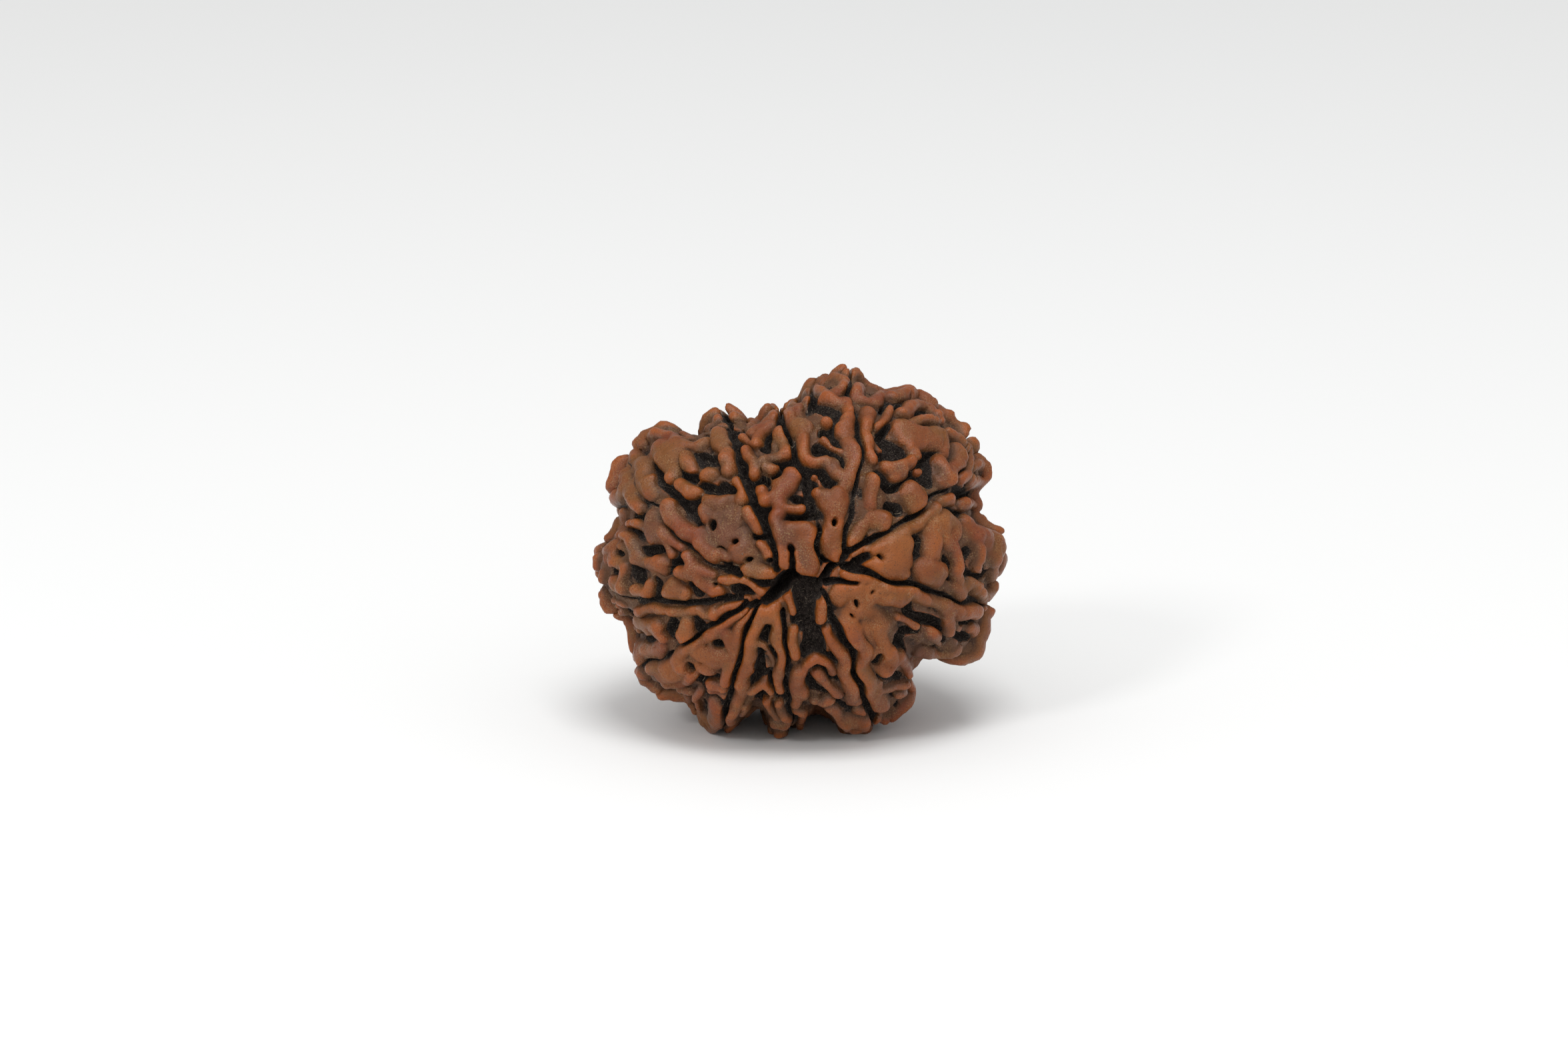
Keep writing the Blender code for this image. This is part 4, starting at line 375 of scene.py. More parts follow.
# Dark hollows between the ridges, sunk through the skin, in the same form, face by face
HOLLOWS: Rows = (
    (.14, .18, -11.75, 4.2, -11.5, 4.8), (.26, .22, -7.1, 2.9, -6.75, 2.2),
    (.36, .4, -3.7, 5.9, -3.2, 5),
    (.6, .45, -6.4, 6, -5.7, 5.9, -5.1, 5.9), (.38, .45, -7.3, 5, -6.6, 4.7),
    (.25, .35, -9.2, 5.5, -8.9, 5, -8.5, 4.5, -8.1, 3.9), (.17, .2, -9.2, 6.75, -8.95, 6.85),
    (.3, .3, -5.6, 7.9, -5, 8), (.15, .15, -6.15, 7.35, -6, 7.3),
    (.35, .4, -6.1, 4.1, -5.1, 3.75, -4.4, 3.9), (.4, .35, -8, 3.8, -7.5, 3.4, -6.9, 3, -6.4, 3.1),
    (.35, .3, -6.7, 3, -6.7, 2.3, -6.5, 1.9), (.45, .4, -4.9, 4.1, -4.4, 3.8),
    (.28, .4, -3.1, 4.6, -3.1, 3.9, -3.05, 3.2, -3, 2.9),
    (.2, .2, -4.6, -1, -4, -1.3, -3.4, -1.6),
    (.25, .25, -2.9, 1, -2.1, 1.1), (.3, .28, -4.9, .2, -4.6, -.4, -4.5, -.8),
    (.28, .25, -11.6, 2.7, -11.1, 2.5), (.3, .28, -10.5, 2.4, -9.9, 2.3),
    (.42, .38, -9.9, -.15, -9.2, .1, -8.7, .35), (.4, .42, -10.4, -.8, -10.3, -1.4, -10, -1.9),
    (.25, .3, -9, -1.7, -8.9, -2.2, -9, -2.8), (.22, .18, -8.5, -1.2, -8.1, -1.1),
    (.28, .3, -7.9, -.75, -7.2, -.75), (.42, .42, -6.8, -2.2, -6.6, -2.5),
    (.3, .3, -2.6, -1.7, -1.9, -1.9), (.25, .2, -3.5, -3.6, -2.9, -3.2),
    (.45, .4, -6.9, -4.2, -6.3, -4.6), (.3, .28, -8, -4.3, -8.3, -4.9, -8, -5.3),
    (.35, .3, -9.8, -5.25, -9.3, -5.4), (.28, .28, -10.9, -3.9, -10.2, -3.9),
    (.1, .12, -10.45, -5.1, -10.45, -5.8), (.28, .28, -5.3, -7.65, -5.9, -7.9, -6.4, -8.15),
    (.25, .28, -6.1, -8.4, -6, -9, -5.5, -9.1, -4.9, -9.4), (.33, .33, -8.9, -8.5, -8.5, -8.7),
    (.15, .18, -5.95, -9.6, -5.85, -10.1), (.1, .1, -6.65, -9.2, -6.6, -10),
    (.22, .32, -2.2, -4.7, -2.25, -5.4, -2.3, -6), (.28, .33, -2.5, -6, -2.6, -6.7, -2.4, -7.4),
    (.18, .15, -1.8, -5.9, -1.75, -6.6), (.33, .28, -3.1, -8.1, -2.6, -7.7, -1.8, -7.6),
    (.2, .2, -1.7, -7.9, -1.7, -8.8), (.33, .33, -2.5, -8.95, -2.5, -9.3),
    (.3, .35, -1.5, -9.15, -.9, -9.3),
    (.85, .85, .2, -2.6, .3, -4), (.65, .8, .2, -4.4, .9, -4.9, .9, -5.7, .7, -6.2),
    (.3, .32, 1.8, -6.4, 2.3, -6.7), (.28, .22, 1, -7.25, 1.5, -7.3, 1.85, -7.75),
    (.28, .25, .5, -7.8, .75, -8.45, 1.4, -8.7, 2.1, -8.95), (.22, .22, 2.35, -7.75, 2.45, -7.8),
    (.2, .25, 2.2, -9.4, 2.9, -9.95, 3.4, -10.1),
    (.38, .33, 6.85, -3.2, 6.9, -3.9, 7.4, -4.2, 8.2, -4.35, 8.85, -4.5),
    (.46, .32, 7.3, -4.9, 6.6, -5.1, 6.25, -5.8, 6.35, -6.6), (.25, .2, 8.95, -5, 8.9, -5.8),
    (.3, .25, 9.7, -5.3, 10.35, -5.5, 10.75, -5.35), (.22, .18, 10.2, -4.45, 11.1, -4.55),
    (.27, .22, 4.95, -7.8, 5.6, -7.85, 6.35, -7.95), (.16, .14, 5.7, -9.05, 6.1, -9.1),
    (.12, .12, 6.2, -9.6, 6.65, -9.65), (.3, .3, 9.3, 2.6, 10.1, 2.35),
    (.36, .34, 9.9, 3.75, 10.6, 3.6, 11.3, 3.55), (.4, .33, 7.2, .75, 7.3, -.35),
    (.22, .28, 9, -.25, 9.35, -.7, 9.55, -1.5), (.3, .36, 10.65, .1, 10.45, -.6, 10.5, -1.4),
    (.34, .3, 10.6, -1.65, 11.3, -1.7, 11.9, -1.2), (.16, .2, 11.6, -.5, 11.65, -1.2),
    (.3, .3, 1.7, -.5, 2.2, -.4), (.28, .2, 2.7, -.3, 3.1, .15, 3.6, .5, 4, .85),
    (.38, .38, 3.6, -.6, 4.2, -.3), (.2, .2, 4.1, .5, 4.7, .9),
    (.3, .35, 5.6, 2.9, 6.2, 2.6), (.28, .25, 4.4, 10.1, 4.65, 9.95), (.2, .2, 5.1, 9.3, 5.1, 9),
    (.25, .3, 5.6, 7.8, 5.3, 7.4), (.45, .55, 5.3, 7, 5.9, 6.5, 6.3, 6.3),
    (.45, .4, 5.3, 6.1, 6.2, 6.1),
    (.25, .2, 4.75, 6.3, 4.9, 6), (.18, .18, 6.05, 9.1, 6.35, 9.3),
    (.22, .28, 7.2, 8.6, 7.6, 8.8, 8.2, 8.7),
    (.4, .4, 8.1, 6.3, 8.7, 6.3), (.5, .45, 7.9, 5.9, 7.9, 5.2, 8, 4.5),
    (.45, .4, 7.4, 5.7, 7.6, 5.2),
    (.3, .35, 6.1, 4.5, 6.9, 4.7, 7.4, 4.3), (.25, .4, 5, 4.9, 5.3, 4.3, 5.9, 4.1),
    (.2, .2, 9.2, 7.5, 9.4, 7.2), (.18, .18, 9.1, 7.95, 9.1, 7.85), (.15, .15, 9.9, 6.6, 10.2, 6.65),
    (.3, .35, 10.5, 4.4, 10.6, 4),
    (.28, .35, -4.75, 8.9, -4.7, 8.4), (.3, .3, -4.4, 7.7, -3.7, 7.7),
    (.35, .35, -4.3, 7.6, -4.2, 7, -4.05, 6.4),
    (.3, .3, -3.8, 5.8, -3.6, 5.2, -3.2, 4.7), (.45, .4, -3.5, 5, -2.9, 4.6, -2.2, 4.5),
    (.33, .28, -1.9, 7.5, -2.1, 6.9, -2.2, 6.5), (.28, .28, -1.2, 8.7, -1.45, 8.1),
    (.45, .55, -1.6, 5.6, -1, 5.4, -.4, 5.6), (.4, .4, -1.3, 4.8, -.5, 5.2),
    (.3, .35, .75, 10.1, .85, 9.7, .9, 9.3), (.4, .5, 1.2, 9.5, 1.6, 9, 2.1, 8.8),
    (.35, .45, 2.2, 8.3, 2.1, 7.6, 1.6, 7.4), (.3, .3, 2.1, 7.4, 2.6, 6.9),
    (.35, .3, 1.1, 6.5, 1.6, 6.3, 2.2, 5.9, 2.5, 5.5),
    (.5, .5, .3, 5.2, 1, 5.2, 1.6, 4.9, 1.9, 4.5),
    (.35, .35, .3, 4.6, .8, 4.2), (.25, .25, 3.1, 10.9, 3.15, 10.3),
    (.35, .3, -2.8, 2.6, -2.2, 2.6, -1.75, 2.75), (.28, .35, -2.35, 2.2, -2.4, 1.5, -2.3, 1.2),
    (.25, .35, -.6, 2.2, .1, 2.2, .7, 2.3), (.3, .3, .55, 2.4, .5, 3.2, .55, 4),
    (.22, .25, -.3, 3.45, .2, 3.3),
)

# Round pits, sunk through ridges and skin alike, in the same form
PITS: Rows = (
    (.25, .25, 4.7, 7.35, 4.7, 7.25), (.22, .22, 6.95, 9.75, 6.95, 9.65),
    (.22, .22, 11.1, 4.95, 11.1, 4.85), (.38, .35, 7.25, .75, 7.35, -.2),
    (.42, .35, 3.7, -.6, 4.2, -.35), (.18, .18, 4.9, -.3, 5, -.4),
    (.12, .12, 9.97, 1.05, 9.97, .95),
    (.35, .33, 6.9, -3.35, 6.95, -3.8), (.3, .33, 7.2, -4.1, 8.2, -4.3, 8.8, -4.6),
    (.25, .25, 3.45, -3.05, 3.49, -3.07), (.15, .15, 4.35, -2.5, 4.37, -2.52),
    (.16, .16, 3.1, -3.7, 3.12, -3.72), (.34, .32, 4.9, -6.45, 4.8, -6.75),
    (.26, .22, 5.1, -7.85, 6.2, -7.9), (.36, .33, -5.15, -5.72, -5, -5.78),
    (.36, .34, -6.7, -7.05, -6.65, -7.25), (.26, .26, -5.5, -7.8, -5.2, -7.7),
    (.28, .28, -8.8, -8.6, -8.6, -8.65), (.22, .2, -11.4, 0, -11.25, -.1),
    (.3, .3, -11.9, -1.2, -11.55, -1.05), (.24, .22, -10.35, 1.4, -10.1, 1.1),
    (.14, .14, -5.35, -2, -5.25, -2.05), (.42, .42, -4.05, -2.3, -3.2, -2.35),
    (.25, .25, -2.4, -1.9, -2, -1.95), (.38, .38, -5.4, 1.62, -5.37, 1.58),
    (.22, .22, -4, .77, -3.98, .75), (.22, .22, -3.2, -.54, -3.19, -.56),
    (.2, .2, -2.05, -.58, -1.95, -.62), (.3, .3, -.55, .42, -.5, .36),
    (.2, .24, -.45, .1, -.38, -.5),
    (.26, .26, 1.94, 1.88, 1.94, 1.84), (.24, .24, 1.8, 10.42, 1.8, 10.35),
)
# The open parts of the front hole
HOLES: Rows = (
    (.42, .68, -2.3, -3, -1.75, -2.55, -1.25, -2.15),
    (.68, .58, -1.25, -2.15, -.8, -1.75, -.45, -1.5),
    (.3, .22, -.45, -1.3, -.38, -.9, -.36, -.6), (.26, .42, 1.35, -1.75, 1.65, -1.45, 1.95, -1.25),
    (.42, .22, 1.95, -1.25, 2.3, -.95, 2.6, -.75),
)

# Crust filled ground between the two open parts of the hole, and its arms
HOLE_ARMS: Rows = (
    (.66, .62, -.2, -1.85, .5, -1.8, 1.1, -1.95), (.7, .6, -.3, -2.3, .4, -2.5, .9, -2.5),
    (.44, .32, 1.8, -1.8, 2.6, -1.75, 3.45, -1.85), (.4, .45, 3.3, -.75, 3.9, -.5),
    (.5, .52, -3.85, -2.35, -3.5, -2.3), (.36, .36, -2.3, -1.85, -2, -1.95),
)

# Where the stone is golden, as seen on the faces at the right and at lower left, in the same form
GOLDEN: Rows = (
    (2.9, 2.4, 3.2, -2.8, 4.8, -4.2, 5, -5.6), (1.9, 1.7, 4.3, -.6, 6, .2), (1.5, 1.3, 8.6, 1.4, 8.3, .2),
    (1.6, 1.4, -2.2, -4.2, -3.2, -6.2), (1.2, 1.1, -7.1, -4.6, -7.3, -5), (1.7, 1.5, -6.3, -6.6, -8, -7.4),
)
# Where it is dusky with dust and old pulp
DUSKY: Rows = (
    (2.6, 2.4, -5, 2, -3.4, .4), (1.9, 1.7, -1.2, 1.2, -.4, -.4), (2.2, 2.2, -9, 1.8, -10.2, -1),
    (2.6, 2.8, -4.6, -10.6, -.5, -10.2, 2.4, -9.4), (2, 1.8, -3.8, 5.4, -1.2, 5.4),
    (1.6, 1.6, 1.2, 4.2, 1.6, 6.4), (1.8, 1.6, 5.6, 4.6, 8, 5.2), (2, 1.8, 8.6, -5.6, 7.2, -6.2),
)


class Detail(Enum):
    """How finely the stone is grown: subdivisions of the sphere, triangles kept, and rounds of blurring."""

    TRIAL = (8, 150_000, 25)
    FULL = (9, 198_000, 100)


def linear(code: str) -> tuple[float, float, float, float]:
    """Turns an sRGB hex colour into linear light.

    Args:
        code: the colour, such as "#93522F".
    Returns:
        Red, green, blue and alpha.
    """
    parts = [int(code[place:place + 2], 16) / 255.0 for place in (1, 3, 5)]
    light = [part / 12.92 if part <= 0.04045 else ((part + 0.055) / 1.055) ** 2.4 for part in parts]
    return light[0], light[1], light[2], 1.0


def put(tree: bpy.types.NodeTree, kind: str, settings: dict[str | int, object]) -> bpy.types.Node:
    """Adds a shader node with its settings and links.

    Args:
        tree: the node tree.
        kind: the node's type.
        settings: properties by name, and inputs by name or number, each a value or a socket to link.
    Returns:
        The new node.
    """
    node = tree.nodes.new(kind)
    names = [socket.name for socket in node.inputs]
    for key, value in settings.items():
        if not isinstance(key, int) and key not in names:
            setattr(node, key, value)
    for key, value in settings.items():
        if isinstance(key, int) or key in names:
            if isinstance(value, bpy.types.NodeSocket):
                tree.links.new(value, node.inputs[key])
            else:
                node.inputs[key].default_value = value
    return node


def new_material(name: str) -> tuple[bpy.types.Material, bpy.types.NodeTree, bpy.types.Node]:
    """Makes a material with an empty Principled shader.

    Args:
        name: the material's name.
    Returns:
        The material, its tree and its shader.
    """
    material = bpy.data.materials.new(name)
    material.use_nodes = True
    tree = material.node_tree
    return material, tree, tree.nodes["Principled BSDF"]


def unit(vectors: np.ndarray) -> np.ndarray:
    """Gives vectors a length of one."""
    return vectors / np.linalg.norm(vectors, axis=-1, keepdims=True)


def smooth_step(values: np.ndarray, low: float, high: float) -> np.ndarray:
    """Rises smoothly from 0 at low to 1 at high."""
    share = np.clip((values - low) / (high - low), 0.0, 1.0)
    return share * share * (3.0 - 2.0 * share)


def between(start: np.ndarray, end: np.ndarray, share: np.ndarray) -> np.ndarray:
    """Gives directions part of the way round from one direction to another.

    Args:
        start: the first direction.
        end: the last direction.
        share: the parts of the way, from 0 to 1.
    Returns:
        One direction for each part.
    """
    angle = math.acos(float(np.clip(start @ end, -1.0, 1.0)))
    share = np.atleast_1d(share)[:, None]
    return (np.sin((1.0 - share) * angle) * start + np.sin(share * angle) * end) / math.sin(angle)


def flowing(values: np.ndarray, counts: np.ndarray) -> np.ndarray:
    """Draws a Catmull-Rom curve through rows of values.

    Args:
        values: the rows.
        counts: steps for each stretch.
    Returns:
        The rows along the curve.
    """
    padded = np.vstack([2 * values[0] - values[1], values, 2 * values[-1] - values[-2]])
    rows = []
    for index, count in enumerate(counts):
        before, start, end, after = padded[index:index + 4]
        for share in np.arange(count) / count:
            rows.append(0.5 * (
                2 * start + (end - before) * share
                + (2 * before - 5 * start + 4 * end - after) * share**2
                + (3 * start - before - 3 * end + after) * share**3
            ))
    rows.append(values[-1])
    return np.array(rows)


def line_of(directions: np.ndarray, start_width: float, end_width: float) -> Line:
    """Makes a ridge along directions, its half-widths in millimetres, with no extra height."""
    half_widths = np.linspace(start_width, end_width, len(directions)) * MM
    return np.asarray(directions), half_widths, np.zeros(len(directions))


@dataclass(frozen=True)
class Ripple:
    """Smooth noise: about the length of a wave in metres, how many waves, and the strength."""

    size: float
    waves: int
    strength: float = 1.0
    spread: tuple[float, float] = (0.7, 1.5)

    def at(self, points: np.ndarray, rng: np.random.Generator) -> np.ndarray:
        """Adds up waves in random directions.

        Args:
            points: places in metres.
            rng: the seeded source of chance.
        Returns:
            One value for each point, of about the strength.
        """
        total = np.zeros(len(points))
        for _ in range(self.waves):
            heading = unit(rng.normal(size=3))
            pace = 2.0 * math.pi / (self.size * rng.uniform(*self.spread))
            total += np.sin(points @ (heading * pace) + rng.uniform(0.0, 2.0 * math.pi))
        return self.strength * (total / math.sqrt(self.waves / 2.0))


@dataclass(frozen=True)
class Cut:
    """How a line is sunk: its mouth as a share of the half-width and a margin, then its floor and slope."""

    share: float
    margin: float
    floor: float
    slope: float

    def wall(self, top: float, away: np.ndarray, width: np.ndarray) -> np.ndarray:
        """Gives the height that it leaves: the floor, then a wall that is at the top where the mouth ends."""
        return np.maximum(self.floor, top + self.slope * (away - self.share * width - self.margin))


@dataclass(frozen=True)
class Core:
    """The core of the seed, up to the floors of its hollows, and how the layout lies on it."""

    middle: tuple[float, float, float] = (-0.01 * MM, -0.25 * MM, 11.18 * MM)
    look_down: float = math.radians(15.0)
    front_half_depth: float = 9.0 * MM
    back_half_depth: float = 9.5 * MM
    limb_share: float = 0.35
    girth_spread: float = math.radians(16.0)
    limb_spread: float = math.radians(4.0)
    layout_level: float = 0.8 * MM
    most_lift: float = 0.45 * MM
    line_step: float = 0.35 * MM
    rounds: int = 12

    def axes(self) -> tuple[np.ndarray, np.ndarray, np.ndarray]:
        """Gives right, up and towards the viewer, as the layout is seen."""
        sine, cosine = math.sin(self.look_down), math.cos(self.look_down)
        return np.array((1.0, 0.0, 0.0)), np.array((0.0, sine, cosine)), np.array((0.0, -cosine, sine))

    def girth(self, angles: np.ndarray, spread: float) -> np.ndarray:
        """Gives the radius of the floors round the outline.

        Args:
            angles: where round the outline, from the right.
            spread: the angle over which neighbouring radii blend.
        Returns:
            The radii in metres.
        """
        total = np.zeros_like(angles)
        weight = np.zeros_like(angles)
        for degrees, radius in GIRTH:
            share = np.exp((np.cos(angles - math.radians(degrees)) - 1.0) / spread**2)
            total += share * radius
            weight += share
        return total / weight * MM

    def floor_radius(self, directions: np.ndarray) -> np.ndarray:
        """Works out the core, out to the floors of the hollows.

        Args:
            directions: unit vectors from the middle.
        Returns:
            The radius along each direction.
        """
        right, up, toward = self.axes()
        across, above, along = directions @ right, directions @ up, directions @ toward
        angles = np.arctan2(above, across)
        broad = self.girth(angles, self.girth_spread)
        depth = np.where(along > 0.0, self.front_half_depth, self.back_half_depth)
        sideways = np.clip(1.0 - along**2, 0.0, 1.0)
        radius = 1.0 / np.sqrt(sideways / broad**2 + along**2 / depth**2)
        at_limb = np.exp(-(along / self.limb_share) ** 2)
        return radius + at_limb * (self.girth(angles, self.limb_spread) - broad)

    def seen_at(self, x: np.ndarray, y: np.ndarray) -> tuple[np.ndarray, np.ndarray]:
        """Finds the directions of points seen at x and y.

        Args:
            x: millimetres to the right of the middle.
            y: millimetres up from the middle.
        Returns:
            The directions, and how far those beyond the core stand out more.
        """
        right, up, toward = self.axes()
        x = np.atleast_1d(np.asarray(x, float)) * MM
        y = np.atleast_1d(np.asarray(y, float)) * MM
        reach = np.hypot(x, y)
        level = np.full_like(reach, self.front_half_depth)
        for _ in range(self.rounds):
            depth = np.sqrt(np.maximum(level**2 - reach**2, 0.0))
            directions = unit(np.outer(x, right) + np.outer(y, up) + np.outer(depth, toward))
            level = 0.5 * (level + self.floor_radius(directions) + self.layout_level)
        return directions, np.clip(reach - level, 0.0, self.most_lift)

    def on_layout(self, directions: np.ndarray) -> np.ndarray:
        """Gives points on the level at which the layout is drawn."""
        return directions * (self.floor_radius(directions) + self.layout_level)[:, None]

    def drawn(self, row: tuple[float, ...]) -> Line:
        """Turns a laid-out row into a smooth line on the seed.

        Args:
            row: two half-widths and then points.
        Returns:
            Directions, half-widths and extra height.
        """
        numbers = np.array(row[2:], float).reshape(-1, 2)
        gaps = np.linalg.norm(np.diff(numbers, axis=0), axis=1) * MM
        counts = np.maximum(1, np.ceil(gaps / self.line_step)).astype(int)
        smooth = flowing(numbers, counts)
        directions, lifts = self.seen_at(smooth[:, 0], smooth[:, 1])
        return directions, np.linspace(row[0], row[1], len(smooth)) * MM, lifts


@dataclass(frozen=True)
class FarSide:
    """The side that the layout doesn't show, grown by a seeded rule in the same habit.

    Widths, shifts and lengths without MM are in millimetres.
    """

    core: Core
    seed: int = 108
    row_step: float = 2.0 * MM
    knob_step: float = 2.05 * MM
    face_radius: float = 11.4 * MM
    back_pole: tuple[float, float, float] = (-0.02, 0.995, -0.096)
    hole_reach: float = 0.87
    hole_spread: float = 0.05
    hole_widths: Span = (0.8, 0.5)
    cleft_steps: int = 48
    cleft_waves: float = 1.4
    cleft_sway: float = 0.4
    lip_offset: float = 0.52 * MM
    lip_shifts: Span = (-0.04, 0.10)
    lip_lengths: Span = (1.6, 4.4)
    lip_widths: Span = (0.32, 0.44)
    lip_gap: float = 0.6 * MM
    fewest_steps: int = 4
    knob_margin: float = 0.75 * MM
    knob_slack: float = 0.6 * MM
    knob_shift: float = 0.3
    knob_widths: Span = (0.48, 0.82)
    knob_length: float = 0.02
    taper: float = 0.9
    join_points: int = 6
    chance_beside: float = 0.55
    chance_beyond: float = 0.6
    beside_widths: tuple[Span, Span] = ((0.3, 0.5), (0.3, 0.42))
    beyond_widths: tuple[Span, Span] = ((0.3, 0.52), (0.28, 0.42))

    def cleft(self, start: np.ndarray, pole: np.ndarray, rng: np.random.Generator) -> np.ndarray:
        """Draws the hidden run of a cleft, a little wavy.

        Args:
            start: where it leaves the outline.
            pole: the direction of the back hole.
            rng: the seeded source of chance.
        Returns:
            Directions along it.
        """
        share = np.linspace(0.0, self.hole_reach, self.cleft_steps)
        line = between(start, pole, share)
        side = unit(np.cross(line, pole))
        wave = np.sin(2.0 * math.pi * (self.cleft_waves * share + rng.uniform())) * np.sin(math.pi * share)
        return unit(line + side * (wave * self.cleft_sway * MM / self.face_radius)[:, None])

    def lips(self, line: np.ndarray, rng: np.random.Generator) -> list[Line]:
        """Draws lips in pieces along both sides of a hidden cleft.

        Args:
            line: directions along the cleft.
            rng: the seeded source of chance.
        Returns:
            The lips.
        """
        lips = []
        step = np.linalg.norm(line[1] - line[0]) * self.face_radius
        side = unit(np.cross(np.gradient(line, axis=0), line))
        for sign in (-1.0, 1.0):
            first = int(rng.integers(0, self.fewest_steps))
            while first < len(line) - self.fewest_steps:
                count = int(rng.uniform(*self.lip_lengths) * MM / step) + 2
                piece = slice(first, min(first + count, len(line)))
                offset = sign * (self.lip_offset + rng.uniform(*self.lip_shifts) * MM) / self.face_radius
                width = rng.uniform(*self.lip_widths)
                lips.append(line_of(unit(line[piece] + side[piece] * offset), width, width * self.taper))
                first += count + int(self.lip_gap / step)
        return lips

    def knob_rows(
        self, left: np.ndarray, right: np.ndarray, rng: np.random.Generator
    ) -> list[list[np.ndarray]]:
        """Places knobs in rows across a face, from its outline end to the back hole.

        Args:
            left: directions along the cleft on one side.
            right: directions along the cleft on the other side.
            rng: the seeded source of chance.
        Returns:
            The directions of the knobs, row by row.
        """
        rows = []
        run = math.acos(float(np.clip(left[0] @ left[-1], -1.0, 1.0))) * self.face_radius
        for position in np.arange(0.5, run / self.row_step):
            index = int(position * self.row_step / run * (len(left) - 1))
            width = np.linalg.norm(left[index] - right[index]) * self.face_radius
            inner = width - 2.0 * (self.lip_offset + self.knob_margin)
            count = int(max(0.0, inner + self.knob_slack) / self.knob_step) + int(inner > -self.knob_slack)
            apart = min(self.knob_step, inner + self.knob_step)
            row = []
            for number in range(count):
                share = 0.5 + (number + 0.5 - count / 2.0) * apart / width
                share += rng.uniform(-self.knob_shift, self.knob_shift) * MM / width
                shift = int(np.clip(index + rng.integers(-1, 2), 0, len(left) - 1))
                row.append(unit((1.0 - share) * left[shift] + share * right[shift]))
            rows.append(row)
        return rows

    def joined(
        self, start: np.ndarray, end: np.ndarray, widths: tuple[Span, Span], rng: np.random.Generator
    ) -> Line:
        """Draws the ridge that joins two knobs, its half-widths drawn from the two spans."""
        path = between(start, end, np.linspace(0.0, 1.0, self.join_points))
        return line_of(path, rng.uniform(*widths[0]), rng.uniform(*widths[1]))

    def face(self, left: np.ndarray, right: np.ndarray, rng: np.random.Generator) -> list[Line]:
        """Draws knobs and the ridges that join them, between two hidden clefts.

        Args:
            left: directions along the cleft on one side.
            right: directions along the cleft on the other side.
            rng: the seeded source of chance.
        Returns:
            The knobs and ridges.
        """
        ridges = []
        rows = self.knob_rows(left, right, rng)
        for number, row in enumerate(rows):
            following = rows[number + 1] if number + 1 < len(rows) else []
            for place, knob in enumerate(row):
                width = rng.uniform(*self.knob_widths)
                aside = unit(knob + rng.normal(size=3) * self.knob_length)
                ridges.append(line_of(np.array([knob, aside]), width, width * self.taper))
                if place + 1 < len(row) and rng.uniform() < self.chance_beside:
                    ridges.append(self.joined(knob, row[place + 1], self.beside_widths, rng))
                if following and rng.uniform() < self.chance_beyond:
                    nearest = max(following, key=lambda other: float(other @ knob))
                    ridges.append(self.joined(knob, nearest, self.beyond_widths, rng))
        return ridges

    def grow(self, front_clefts: list[np.ndarray]) -> tuple[list[np.ndarray], list[Line], Line]:
        """Grows the hidden side from where the visible clefts leave the outline.

        Args:
            front_clefts: directions along each visible cleft.
        Returns:
            The hidden clefts, the ridges and the back hole.
        """
        rng = np.random.default_rng(self.seed)
        pole = unit(np.array(self.back_pole))
        clefts = [self.cleft(line[-1], pole, rng) for line in front_clefts]
        ridges = []
        for index, cleft in enumerate(clefts):
            ridges += self.lips(cleft, rng)
            ridges += self.face(cleft, clefts[(index + 1) % len(clefts)], rng)
        spread = unit(pole + rng.normal(size=(5, 3)) * self.hole_spread)
        return clefts, ridges, line_of(spread, *self.hole_widths)


